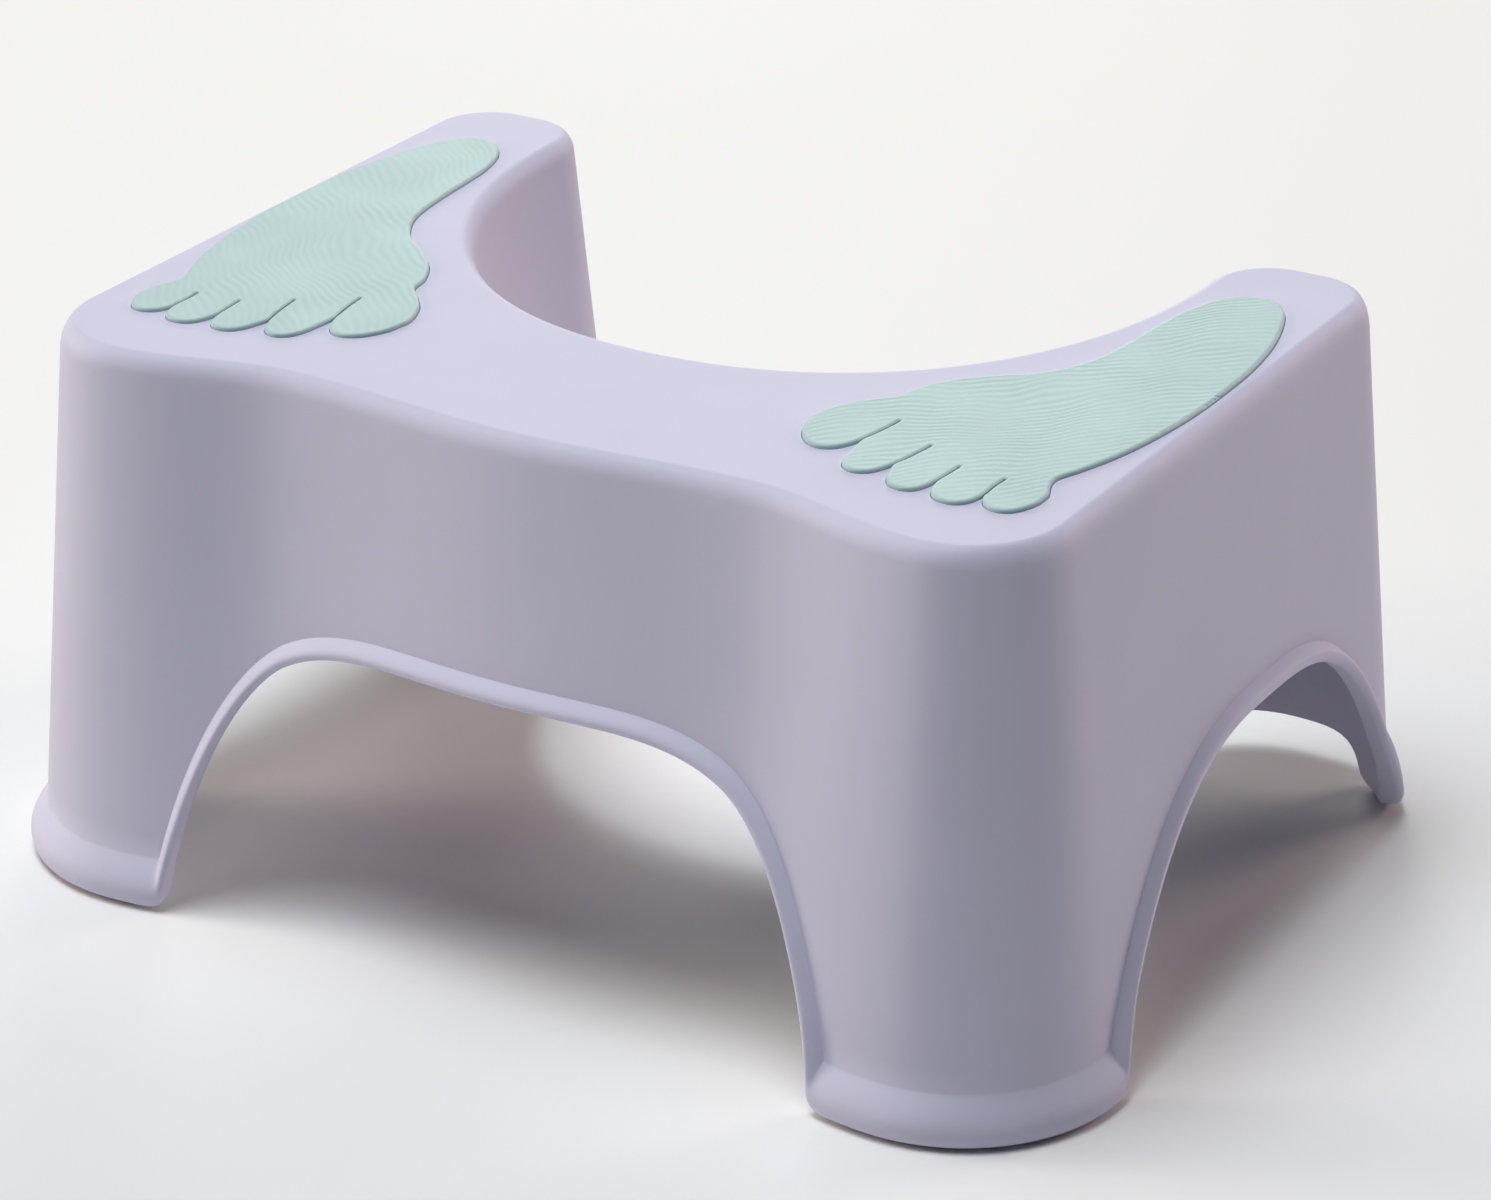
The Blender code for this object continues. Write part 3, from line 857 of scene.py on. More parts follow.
@dataclass
class RimPlan:
    """The lower edge of the walls on the unrolled sheet, at a share of the rim's width above the edge."""

    deck: DeckPlan
    front_leg_width: float = 0.0489
    front_arch_height: float = 0.095
    side_arch_width: float = 0.1936
    side_arch_height: float = 0.081
    side_arch_centre: float = 0.0121
    back_arch_height: float = 0.062
    back_hem_height: float = 0.016
    back_leg_width: float = 0.012
    back_rise_share: float = 0.86
    front_shape: Pair = (4.5, 1.32)
    side_front_shape: Pair = (2.35, 1.2)
    side_back_shape: Pair = (3.6, 1.2)
    back_shape: Pair = (70.0, 2.0)
    back_crown: float = 1.4
    lip_width: float = 0.0062
    front_lip_share: float = 0.68
    lip_proud: float = 0.0036
    bead_height: float = 0.0152
    bead_proud: float = 0.0049
    bead_blend: float = 0.03
    foot_level: float = 0.001
    corner: float = 0.005
    least_corner: float = 0.3 * MM
    corner_limit_share: float = 0.3
    # Points along the front arch, the front foot, the side arch, the back foot and the back opening.
    columns: tuple[int, ...] = (72, 44, 92, 14, 132)
    corner_columns: int = 9
    across: Points = field(init=False)
    side_centre: float = field(init=False)
    front_end: float = field(init=False)
    side_from: float = field(init=False)
    side_to: float = field(init=False)
    back_from: float = field(init=False)
    squeeze: float = field(init=False)

    def __post_init__(self) -> None:
        """Works out where each opening starts and ends along the outline."""
        deck = self.deck
        straight = deck.top_depth / 2 - deck.front_corner_radius
        self.across = np.sin(np.linspace(0.0, math.pi / 2, deck.dense))
        self.side_centre = deck.side_start + self.side_arch_centre + straight
        self.front_end = deck.top_width / 2 - self.front_leg_width
        self.side_from = self.side_centre - self.side_arch_width / 2
        self.side_to = self.side_centre + self.side_arch_width / 2
        self.back_from = self.side_to + self.back_leg_width
        self.squeeze = deck.back_corner_radius / (deck.back_corner_radius + deck.wall_flare)

    def above_floor(self, up: Points, half_width: float, floor: float) -> Points:
        """Cuts an opening's edge off at the floor line.

        Args:
            up: Its height at each of the places across it.
            half_width: Half its width at the floor.
            floor: Height of the floor line.

        Returns:
            Distances from its centre, and heights.
        """
        end = float(np.interp(-floor, -up, self.across))
        keep = up > floor
        return np.column_stack([np.append(self.across[keep], end) * half_width, np.append(up[keep], floor)])

    def arch(self, half_width: float, height: float, shape: Pair, floor: float) -> Points:
        """Points from an arch's crown down to the floor line.

        Args:
            half_width: Half its width at the floor.
            height: Height of its crown.
            shape: How square its shoulder is, and how upright its foot.
            floor: Height of the floor line.

        Returns:
            Distances from its centre, and heights.
        """
        up = height * (1.0 - self.across ** shape[0]) ** (1.0 / shape[1])
        return self.above_floor(up, half_width, floor)

    def back_arch(self, inset: float, floor: float) -> Points:
        """The back opening, low along the horns' tips and rising to its crown in the notch.

        Args:
            inset: How much larger it is than at the rim's lower edge.
            floor: Height of the floor line.

        Returns:
            Distances from its centre, and heights.
        """
        half_width = self.deck.length - self.back_from + inset * self.squeeze
        rise = np.clip(self.across / self.back_rise_share, 0.0, 1.0) ** self.back_crown
        climb = self.back_arch_height - self.back_hem_height
        body = self.back_hem_height + climb * (1 + np.cos(math.pi * rise)) / 2
        up = (body + inset) * (1.0 - self.across ** self.back_shape[0]) ** (1.0 / self.back_shape[1])
        return self.above_floor(up, half_width, floor)

    def curve(self, share: float) -> Points:
        """The whole rim at a share of its width.

        Args:
            share: 0 at the rim's lower edge and 1 at its upper one.

        Returns:
            Places and heights on the unrolled sheet, round both halves.
        """
        inset = self.lip_width * share
        floor = self.foot_level + self.bead_height * share
        front = self.arch(self.front_end + inset * self.front_lip_share, self.front_arch_height + inset,
                          self.front_shape, floor)
        half_side = self.side_arch_width / 2
        side_height = self.side_arch_height + inset
        before = self.arch(half_side + inset, side_height, self.side_front_shape, floor)
        behind = self.arch(half_side + inset * self.squeeze, side_height, self.side_back_shape, floor)
        side = np.vstack([before[::-1] * (-1, 1), behind[1:]]) + (self.side_centre, 0.0)
        back = self.back_arch(inset, floor)[::-1] * (-1, 1) + (self.deck.length, 0.0)
        front_foot = np.linspace(front[-1], side[0], self.deck.dense)
        back_foot = np.linspace(side[-1], back[0], self.deck.dense)
        corner = max(self.corner * (1.0 - share), self.least_corner)
        half = self.joined([front, front_foot, side, back_foot, back], corner)
        other = half[1:-1][::-1] * (-1, 1) + (2 * self.deck.length, 0.0)
        return np.vstack([half, other])

    def joined(self, pieces: Sequence[Points], corner: float) -> Points:
        """One curve of several pieces, each meeting of two being rounded.

        Args:
            pieces: The pieces, each of which starts where the one before it ends.
            corner: How much of a piece a rounding may take.

        Returns:
            Points of the curve.
        """
        trimmed = []
        for index, piece in enumerate(pieces):
            run = lengths_along(piece)
            cut = min(corner, run[-1] * self.corner_limit_share)
            first = cut if index > 0 else 0.0
            last = run[-1] - cut if index < len(pieces) - 1 else run[-1]
            places = np.linspace(first, last, self.columns[index])
            trimmed.append(np.column_stack([np.interp(places, run, column) for column in piece.T]))
        found = [trimmed[0]]
        t = (np.arange(self.corner_columns) + 1)[:, None] / (self.corner_columns + 1)
        for index in range(1, len(pieces)):
            start, meeting, end = trimmed[index - 1][-1], pieces[index][0], trimmed[index][0]
            found.append((1 - t) ** 2 * start + 2 * t * (1 - t) * meeting + t ** 2 * end)
            found.append(trimmed[index])
        return np.vstack(found)


@dataclass
class MouldedShell:
    """The one-piece shell: deck, edge, walls, rims, foot beads, inner skin, ribs, recesses and grooves."""

    deck: DeckPlan
    rim: RimPlan
    wall: float = 0.003
    deck_thickness: float = 0.0038
    # The deck's edge rolls over by its run, and drops further along the two sides.
    edge_run: float = 0.0044
    edge_drop: float = 0.006
    side_edge_drop: float = 0.0105
    flat_border: float = 0.0003
    inner_fillet: float = 0.0025
    fillet_turns: Triple = (30.0, 60.0, 90.0)
    # Shares of the rim's height at which it stands out most, and how proud its sole still is.
    full_share: float = 0.34
    side_full_share: float = 0.56
    sole_share: float = 0.42
    flare_power: float = 1.1
    # Shares of the inner skin's height, and how much thinner the wall is there.
    sole_chamfer: tuple[Pair, ...] = ((0.0, 0.5 * MM), (0.0015, 0.2 * MM), (0.004, 0.0))
    even_share: float = 0.45
    edge_rings: int = 13
    wall_rings: int = 20
    flare_rings: int = 18
    round_rings: int = 10
    inner_rings: int = 12
    rib_root: float = 0.0024
    rib_tip: float = 0.0016
    rib_drop: float = 0.011
    rib_pitch: float = 0.046
    rib_flare: float = 0.0009
    rib_sink_share: float = 1 / 3
    rib_round_share: float = 0.25
    rib_round_steps: int = 3
    rib_bite_share: float = 0.25
    rib_limit_points: int = 900
    net_pitch: float = 0.016
    pin_radius: float = 0.0035
    pin_depth: float = 0.00025
    pin_test_points: int = 400
    gate_x: float = 0.006
    gate_radius: float = 0.003
    gate_height: float = 0.0008
    smooth_angle: float = 32.0
    # Where hands rub the edge, by how far its faces point up, and where the bead is rubbed.
    worn_slopes: Pair = (0.1, 0.6)
    flat_slopes: Pair = (0.93, 0.995)
    bead_rub: float = 0.6
    bead_rub_share: float = 0.4
    bead_rub_slope: float = 0.6
    body: bpy.types.Object = field(init=False)

    @property
    def under(self) -> float:
        """Height of the deck's underside."""
        return self.deck.height - self.deck_thickness

    def rings(self) -> Points:
        """Rings from the deck's flat, over the edge, down the wall and rim, and up the inner skin.

        Returns:
            Array of rings by points by 3.
        """
        rim_top, sole = self.rim.curve(1.0), self.rim.curve(0.0)
        even = np.linspace(0.0, 2 * self.deck.length, len(rim_top), endpoint=False)
        top_s = rim_top[:, 0] * (1 - self.even_share) + even * self.even_share
        skins = (self.outer_skin(top_s, rim_top), self.rim_skin(sole), self.inner_skin(top_s, sole))
        return np.array([ring for skin in skins for ring in skin])

    def outer_skin(self, top_s: Points, rim_top: Points) -> Iterator[Points]:
        """Rings from the deck's flat, over its edge and down the wall to the rim.

        Args:
            top_s: Places along the outline at the deck's edge.
            rim_top: Places and heights where the rim leaves the wall.

        Returns:
            The rings, one after another.
        """
        deck, run, drop = self.deck, self.edge_run, self.drops(top_s)
        yield deck.wrap(top_s, deck.height, -run - self.flat_border)
        for turn in np.radians(np.linspace(90.0, 0.0, self.edge_rings)):
            yield deck.wrap(top_s, deck.height - drop * (1 - math.sin(turn)), -run * (1 - math.cos(turn)))
        wall_top = np.column_stack([top_s, deck.height - drop])
        for share in np.linspace(0.0, 1.0, self.wall_rings + 2)[1:-1]:
            ring = wall_top * (1 - share) + rim_top * share
            yield deck.wrap(ring[:, 0], ring[:, 1], 0.0)

    def rim_skin(self, sole: Points) -> Iterator[Points]:
        """Rings of the rim: a lip round each opening, which swells to a bead along the feet.

        Args:
            sole: Places and heights of the rim's lower edge.

        Returns:
            The rings, one after another.
        """
        deck, rim = self.deck, self.rim
        place = deck.folded(sole[:, 0])
        near_floor = 1.0 - smooth_share(sole[:, 1], rim.foot_level, rim.foot_level + rim.bead_blend)
        proud = rim.lip_proud + (rim.bead_proud - rim.lip_proud) * near_floor
        at_side = smooth_share(place, rim.front_end, rim.side_from)
        at_side = at_side * (1.0 - smooth_share(place, rim.side_to, rim.back_from)) * (1.0 - near_floor)
        full = self.full_share + (self.side_full_share - self.full_share) * at_side
        for share in self.rim_shares():
            ring = rim.curve(share)
            yield deck.wrap(ring[:, 0], ring[:, 1], proud * self.rim_section(share, full))

    def inner_skin(self, top_s: Points, sole: Points) -> Iterator[Points]:
        """Rings from the rim's lower edge up the inner skin and round under the deck.

        Args:
            top_s: Places along the outline at the deck's edge.
            sole: Places and heights of the rim's lower edge.

        Returns:
            The rings, one after another.
        """
        deck, wall, fillet = self.deck, self.wall, self.inner_fillet
        top = np.column_stack([top_s, np.full(len(top_s), self.under - fillet)])
        upper = [(share, 0.0) for share in np.linspace(0.0, 1.0, self.inner_rings + 1)[1:]]
        for share, thinner in (*self.sole_chamfer, *upper):
            ring = sole * (1 - share) + top * share
            yield deck.wrap(ring[:, 0], ring[:, 1], thinner - wall)
        for turn in np.radians(self.fillet_turns):
            level = self.under - fillet * (1 - math.sin(turn))
            yield deck.wrap(top_s, level, -wall - fillet * (1 - math.cos(turn)))
        yield deck.wrap(top_s, self.under, -wall - fillet - self.flat_border)

    def drops(self, s: Points) -> Points:
        """How far down the deck's edge rolls over: furthest at the two sides.

        Args:
            s: Places along the outline.

        Returns:
            One drop for each place.
        """
        deck, quarter = self.deck, math.pi / 2
        place = deck.folded(s)
        share = smooth_share(place, deck.side_start - deck.front_corner_radius * quarter, deck.side_start)
        behind = smooth_share(place, deck.side_end, deck.side_end + deck.back_corner_radius * quarter)
        return self.edge_drop + (self.side_edge_drop - self.edge_drop) * share * (1 - behind)

    def divide_deck(self) -> None:
        """Cuts the deck's flat top and underside into squares, so that no face runs round the recesses."""
        deck, lowest = self.deck, self.under - TOUCH
        with EditBench(self.body) as bench:
            for span, normal in ((deck.top_width, Vector((1, 0, 0))), (deck.top_depth, Vector((0, 1, 0)))):
                for place in np.linspace(-span / 2, span / 2, round(span / self.net_pitch) + 1)[1:-1]:
                    bench.faces(lambda face: abs(face.normal.z) > LEVEL and face.verts[0].co.z > lowest)
                    bpy.ops.mesh.bisect(plane_co=normal * float(place), plane_no=normal)

    def rim_shares(self) -> Iterator[float]:
        """Shares of the rim's height, from where it leaves the wall down to its lower edge.

        Returns:
            One share for each ring.
        """
        for step in np.linspace(0.0, 1.0, self.flare_rings):
            yield 1.0 - (1.0 - self.full_share) * step
        for turn in np.radians(np.linspace(0.0, 90.0, self.round_rings))[1:]:
            yield self.full_share * (1.0 - math.sin(turn))

    def rim_section(self, share: float, full: Points) -> Points:
        """How proud the rim stands: a swell that leaves the wall, then a round lower edge.

        Args:
            share: Share of the rim's height.
            full: Share of the height at which the rim stands out most, for each point of a ring.

        Returns:
            A share of how proud the rim is, for each point.
        """
        swell = np.sin(math.pi / 2 * np.clip((1.0 - share) / (1.0 - full), 0.0, 1.0)) ** self.flare_power
        fall = np.clip(1.0 - share / full, 0.0, 1.0)
        edge = self.sole_share + (1 - self.sole_share) * np.sqrt(1.0 - fall ** 2)
        return np.where(share >= full, swell, edge)

    def rib(self, name: str, middle: Vector, size: Vector) -> bpy.types.Object:
        """One drafted rib that widens where it meets the deck.

        Args:
            name: Name of the new object.
            middle: Its middle.
            size: Its size along X, Y and Z; its thickness is the smaller of the first two.

        Returns:
            The closed body.
        """
        bpy.ops.object.select_all(action="DESELECT")
        bpy.ops.mesh.primitive_cube_add(size=UNIT, location=middle, scale=size)
        body = fresh(name)
        settle(body)
        thin = 0 if size.x < size.y else 1
        taper, widen = [1.0, 1.0, 1.0], [1.0, 1.0, 1.0]
        taper[thin] = self.rib_tip / self.rib_root
        widen[thin] = (self.rib_root + 2 * self.rib_flare) / self.rib_root
        sink = self.deck_thickness * self.rib_sink_share
        with EditBench(body) as bench:
            bench.faces(points_down)
            bpy.ops.transform.resize(value=taper, center_override=middle)
            bench.faces(points_up)
            bpy.ops.mesh.extrude_region_move(TRANSFORM_OT_translate={"value": (0, 0, self.rib_flare)})
            bpy.ops.transform.resize(value=widen, center_override=middle)
            bpy.ops.mesh.extrude_region_move(TRANSFORM_OT_translate={"value": (0, 0, sink)})
            bench.edges(lambda edge: any(points_down(face) for face in edge.link_faces)
                        and all(face.normal.z < SIDEWAYS for face in edge.link_faces))
            bpy.ops.mesh.bevel(offset=self.rib_tip * self.rib_round_share, segments=self.rib_round_steps)
        return body

    def places_of_ribs(self, span: float) -> list[float]:
        """Middles of the ribs that fit in a span, set out from its centre."""
        count = int(span / self.rib_pitch)
        return [self.rib_pitch * (index - (count - 1) / 2) for index in range(count)]

    def gaps_of_ribs(self, span: float) -> list[float]:
        """Middles of the gaps between the ribs of a span."""
        places = self.places_of_ribs(span)
        return [(start + end) / 2 for start, end in zip(places[:-1], places[1:])]

    def add_ribs(self) -> None:
        """Hangs the crossing ribs from the deck and runs them into the walls."""
        deck = self.deck
        low, high = self.under - self.rib_drop, self.under - self.rib_flare
        places = np.linspace(0.0, 2 * deck.length, self.rib_limit_points, endpoint=False)
        width, depth = deck.top_width + 2 * deck.wall_flare, deck.top_depth + 2 * deck.wall_flare
        wide = Vector((width, depth, high - low))
        for name, span, axis in (("lengthwise", deck.top_width, 0), ("crosswise", deck.top_depth, 1)):
            ribs = []
            for place in self.places_of_ribs(span):
                middle, size = Vector((0, 0, (low + high) / 2)), wide.copy()
                middle[axis], size[axis] = place, self.rib_root
                ribs.append(self.rib(f"{name}_rib", middle, size))
            group = join(ribs)
            levels = (deck.height, low - self.rib_drop)
            reach = self.wall * (1 - self.rib_bite_share)
            core = lofted("rib_limits", np.array([deck.wrap(places, level, -reach) for level in levels]))
            combine(group, core, Cut.KEEP)
            combine(self.body, group, Cut.ADD)

    def add_moulding_marks(self) -> None:
        """Presses the ejector pins' shallow rounds between the ribs, and leaves the gate's stub."""
        under = self.under
        across, along = self.gaps_of_ribs(self.deck.top_width), self.gaps_of_ribs(self.deck.top_depth)
        marks = [cylinder("pin_mark", (x, y), self.pin_radius, under - SPARE, under + self.pin_depth)
                 for x in across for y in along if self.is_under_deck(x, y)]
        combine(self.body, join(marks), Cut.TAKE)
        gate_place = (self.gate_x, along[0])
        gate = cylinder("gate", gate_place, self.gate_radius, under - self.gate_height, under + SPARE)
        combine(self.body, gate, Cut.ADD)

    def is_under_deck(self, x: float, y: float) -> bool:
        """Whether a pin's mark at a place lies well inside the deck.

        Args:
            x: Its place from left to right.
            y: Its place from front to back.

        Returns:
            Whether it does.
        """
        deck = self.deck
        places = np.linspace(0.0, 2 * deck.length, self.pin_test_points, endpoint=False)
        ring = deck.wrap(places, deck.height, 0.0)[:, :2]
        after = np.roll(ring, -1, axis=0)
        crosses = (ring[:, 1] > y) != (after[:, 1] > y)
        slope = (after[:, 0] - ring[:, 0]) / np.where(crosses, after[:, 1] - ring[:, 1], 1.0)
        inside = np.count_nonzero(crosses & (x < ring[:, 0] + slope * (y - ring[:, 1]))) % 2 == 1
        clear = distance_to(ring, np.array([[x, y]]))[0] > self.wall + self.inner_fillet + 2 * self.pin_radius
        return inside and clear

    def build(self) -> bpy.types.Object:
        """Lofts the shell, then hangs its ribs and makes its moulding marks.

        Returns:
            The shell, still without its recesses, holes and grooves.
        """
        self.body = lofted("stool_shell_skin", self.rings())
        self.divide_deck()
        self.add_ribs()
        self.add_moulding_marks()
        return self.body

    def cut(self, tools: Sequence[bpy.types.Object]) -> None:
        """Takes the recesses, holes and grooves of the other pieces out of the shell."""
        for tool in tools:
            combine(self.body, tool, Cut.TAKE)

    def dress(self, finish: SatinPlastic) -> None:
        """Shades the shell, gives it its finish and marks where it is rubbed.

        Args:
            finish: The plastic.
        """
        body = self.body
        put_finish(body, self.smooth_angle, finish.material())
        level, slope = vectors_of(body.data, "co")[:, 2], vectors_of(body.data, "normal")[:, 2]
        edge = smooth_share(level, self.deck.height - self.side_edge_drop, self.deck.height)
        edge = edge * smooth_share(slope, *self.worn_slopes) * (1 - smooth_share(slope, *self.flat_slopes))
        bead_height = self.rim.bead_height
        bead = 1.0 - smooth_share(np.abs(level - self.bead_rub_share * bead_height), 0.0, bead_height / 2)
        worn = np.maximum(edge, self.bead_rub * bead * (np.abs(slope) < self.bead_rub_slope))
        mark(body.data, "worn", worn)
        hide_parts("stool_shell")
        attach(body, "root")


# The mats and the pads

@dataclass(frozen=True)
class Ripples:
    """Fine waves in a mat's top: lines that flow round the ball and heel, sway, and lie calm in places."""

    pitch: float = 0.0029
    depth: float = 0.00009
    turn: float = 43.0
    crest_power: float = 0.8
    # Places are shares of the mat's width and length; reach is how far round them the lines are pushed.
    ball: Pair = (0.55, 0.36)
    ball_reach: float = 17 * MM
    ball_push: float = 9 * MM
    heel: Pair = (0.78, 0.84)
    heel_reach: float = 14 * MM
    heel_push: float = 6 * MM
    sway: float = 1.1 * MM
    sway_length: float = 7.3 * MM
    sway_twist: float = 1.6
    sway_width: float = 9 * MM
    shiver: float = 0.55 * MM
    shiver_length: float = 3.1 * MM
    shiver_width: float = 5.3 * MM
    calm: float = 0.6
    calm_length: float = 6.1 * MM
    calm_twist: float = 2.2
    calm_width: float = 13 * MM

    def heights(self, places: Points, ball: Points, heel: Points) -> Points:
        """Height of the ripples, 0 in a valley and 1 on a crest.

        Args:
            places: Places in plan.
            ball: The middle of the foot's ball.
            heel: The middle of its heel.

        Returns:
            One height for each place.
        """
        turn = math.radians(self.turn)
        along = places @ (math.cos(turn), math.sin(turn))
        across = places @ (-math.sin(turn), math.cos(turn))
        near_ball = np.exp(-((places - ball) ** 2).sum(axis=1) / self.ball_reach ** 2)
        near_heel = np.exp(-((places - heel) ** 2).sum(axis=1) / self.heel_reach ** 2)
        flow = across + self.ball_push * near_ball - self.heel_push * near_heel
        twist = self.sway_twist * np.sin(across / self.sway_width)
        flow = flow + self.sway * np.sin(along / self.sway_length + twist)
        flow = flow + self.shiver * np.sin(along / self.shiver_length - across / self.shiver_width)
        wave = 0.5 + 0.5 * np.cos(2 * math.pi * flow / self.pitch)
        twist = self.calm_twist * np.sin(across / self.calm_width)
        calm = 0.5 + 0.5 * np.sin(along / self.calm_length + twist)
        return 1.0 - (1.0 - wave ** self.crest_power) * (1.0 - self.calm * calm)


@dataclass
class GripMat:
    """A foot-shaped mat: rippled top, rounded edge, slit toes, flat underside and studs."""

    deck: DeckPlan
    ripples: Ripples = Ripples()
    length: float = 0.1815
    width: float = 0.093
    side_margin: float = 0.0055
    middle: float = -0.00165
    proud: float = 0.0012
    recess_depth: float = 0.0014
    clearance: float = 0.0003
    slit: float = 0.0006
    recess_gap: float = 0.00016
    recess_chamfer: float = 0.0001
    edge_radius: float = 0.00075
    # In edge radii from the edge: the net's rows, its nearest cells, and where the ripples are full.
    row_shares: tuple[float, ...] = (0.12, 0.35, 0.65, 1.0)
    net_keep_share: float = 1.55
    fade_share: float = 3.0
    # A point of a row or of a grown outline stays if it is this share of its distance from the edge.
    row_keep_share: float = 0.85
    outline_keep_share: float = 0.9
    grain: float = 0.00045
    stud_radius: float = 0.0025
    stud_reach: float = 0.002
    stud_sink: float = 0.5 * MM
    stud_chamfer: float = 0.5 * MM
    stud_chamfer_steps: int = 3
    stud_sides: int = 40
    stud_rib_apart: float = 0.0049
    hole_depth: float = 0.015
    smooth_angle: float = 50.0
    # Shares of the mat's width and length, from the little toe's root round the heel to the big toe's.
    sole_shares: tuple[Pair, ...] = (
        (0.896, 0.1), (0.86, 0.155), (0.896, 0.21), (0.94, 0.285), (0.972, 0.369), (0.996, 0.482),
        (1.0, 0.605), (0.992, 0.714), (0.962, 0.822), (0.91, 0.915), (0.86, 0.966), (0.79, 0.993),
        (0.7, 0.982), (0.63, 0.936), (0.588, 0.862), (0.57, 0.773), (0.555, 0.684), (0.522, 0.596),
        (0.44, 0.522), (0.32, 0.469), (0.225, 0.418), (0.168, 0.362), (0.152, 0.322), (0.1, 0.292),
        (0.038, 0.25), (0.002, 0.2),
    )
    # Millimetres in plan on the left mat, from the big toe: the toes' tips, and the slits up to their roots.
    toe_tips: tuple[tuple[Pair, ...], ...] = (
        ((70.4, -61.5), (71.6, -67.2), (74.8, -72.8), (78.8, -76.2),
         (82.6, -76.8), (86.2, -75.1), (88.6, -71.6)),
        ((91.3, -73.0), (92.2, -79.5), (94.0, -84.1), (97.0, -86.4),
         (100.0, -86.6), (102.9, -85.0), (104.9, -81.9)),
        ((107.6, -81.0), (109.2, -86.0), (111.6, -89.4), (114.4, -90.6),
         (117.3, -90.6), (119.9, -89.0), (121.4, -85.8)),
        ((123.4, -85.6), (125.2, -89.6), (127.9, -91.7), (131.0, -92.3),
         (134.0, -91.6), (136.3, -89.4), (137.5, -86.0)),
        ((138.5, -84.2), (140.3, -87.8), (143.4, -90.0), (146.6, -90.3),
         (149.7, -88.7), (151.9, -85.3), (153.3, -80.6)),
    )
    slit_lines: tuple[tuple[Pair, ...], ...] = (
        ((90.2, -67.2), (91.4, -61.0), (92.3, -55.5), (92.8, -50.3)),
        ((106.3, -77.8), (107.5, -72.5), (108.4, -67.0), (109.1, -61.5)),
        ((122.2, -81.5), (122.6, -76.5), (123.0, -70.3)),
        ((137.9, -82.0), (137.6, -77.0), (137.9, -71.5)),
    )
    stud_shares: tuple[Pair, ...] = ((0.77, 0.86), (0.79, 0.5), (0.4, 0.3))
    curve_steps: int = 9

    @property
    def top(self) -> float:
        """Height of the ripples' crests."""
        return self.deck.height + self.proud

    def point(self, u: float, v: float) -> Points:
        """World place of a share of the mat's width and length."""
        outer = self.deck.top_width / 2 - self.side_margin
        return np.array([outer - self.width * (1.0 - u), self.middle + self.length * (v - 0.5)])

    def outline(self, grow: float, slits: bool) -> Points:
        """The mat's outline, counter-clockwise.

        Args:
            grow: How far it is moved out.
            slits: Whether the toes are slit up to their roots; without, they part only at their tips.

        Returns:
            Points of the closed outline.
        """
        given = [self.point(u, v) for u, v in self.sole_shares]
        for tip, line in zip(self.toe_tips, (*self.slit_lines, ())):
            given += [np.array(place) * MM for place in tip]
            left = [np.array(place) * MM for place in line]
            right = [place + (self.slit, 0.0) for place in left[::-1]]
            if slits and left:
                given += [*left, (left[-1] + right[0]) / 2 + (0.0, self.slit), *right]
            elif left:
                given.append((left[0] + right[-1]) / 2)
        closed = smooth_curve([*given, given[0]], self.curve_steps)[:-1]
        if not grow:
            return closed
        grown = shrunk(closed, -grow)
        return grown[distance_to(closed, grown) > self.outline_keep_share * grow]

    def ripple(self, places: Points) -> Points:
        """Height of the ripples at places in plan on the left mat, from 0 to 1."""
        return self.ripples.heights(places, self.point(*self.ripples.ball), self.point(*self.ripples.heel))

    def stud_places(self, shell: MouldedShell) -> list[Pair]:
        """Where the studs stand, each moved beside a rib that it would meet.

        Args:
            shell: The shell whose ribs the studs clear.

        Returns:
            The middle of each stud in plan.
        """
        found = []
        for u, v in self.stud_shares:
            place = list(self.point(u, v))
            for axis, span in enumerate((self.deck.top_width, self.deck.top_depth)):
                nearest = min(shell.places_of_ribs(span), key=lambda rib: abs(rib - place[axis]))
                if abs(place[axis] - nearest) < self.stud_rib_apart:
                    place[axis] = nearest + math.copysign(self.stud_rib_apart, place[axis] - nearest)
            found.append((place[0], place[1]))
        return found

    def net(self, edge: Points) -> tuple[Points, Points]:
        """Fills the outline with a fine flat net of triangles, in closer rows along its edge.

        Args:
            edge: The mat's outline.

        Returns:
            Places in plan, and the three places of each triangle by number.
        """
        rows = np.vstack([shrunk(edge, self.edge_radius * share) for share in self.row_shares])
        wanted = np.repeat([self.edge_radius * share for share in self.row_shares], len(edge))
        rows = rows[distance_to(edge, rows) > self.row_keep_share * wanted]
        spans = [np.arange(low, high, self.grain) for low, high in zip(edge.min(axis=0), edge.max(axis=0))]
        cells = np.stack(np.meshgrid(*spans), axis=-1).reshape(-1, 2)
        cells = cells[distance_to(edge, cells) > self.net_keep_share * self.edge_radius]
        given = [Vector(place) for place in np.vstack([edge, rows, cells])]
        ring = [(index, (index + 1) % len(edge)) for index in range(len(edge))]
        points, _, faces, *_ = delaunay_2d_cdt(given, ring, [], INSIDE_ONLY, NET_TOLERANCE)
        places, faces = np.array(points), np.array(faces)
        used = np.unique(faces)
        order = np.full(len(places), -1)
        order[used] = np.arange(len(used))
        return places[used], order[faces]

    def surface(self, edge: Points, places: Points) -> Points:
        """Heights of the mat's top, rippled inside and rounded along its edge.

        Args:
            edge: The mat's outline.
            places: Places in plan.

        Returns:
            One height for each place.
        """
        radius, away = self.edge_radius, distance_to(edge, places)
        fall = radius - np.sqrt(radius ** 2 - (radius - np.minimum(away, radius)) ** 2)
        fade = smooth_share(away, radius, self.fade_share * radius)
        return self.top - fall - self.ripples.depth * (1.0 - self.ripple(places)) * fade

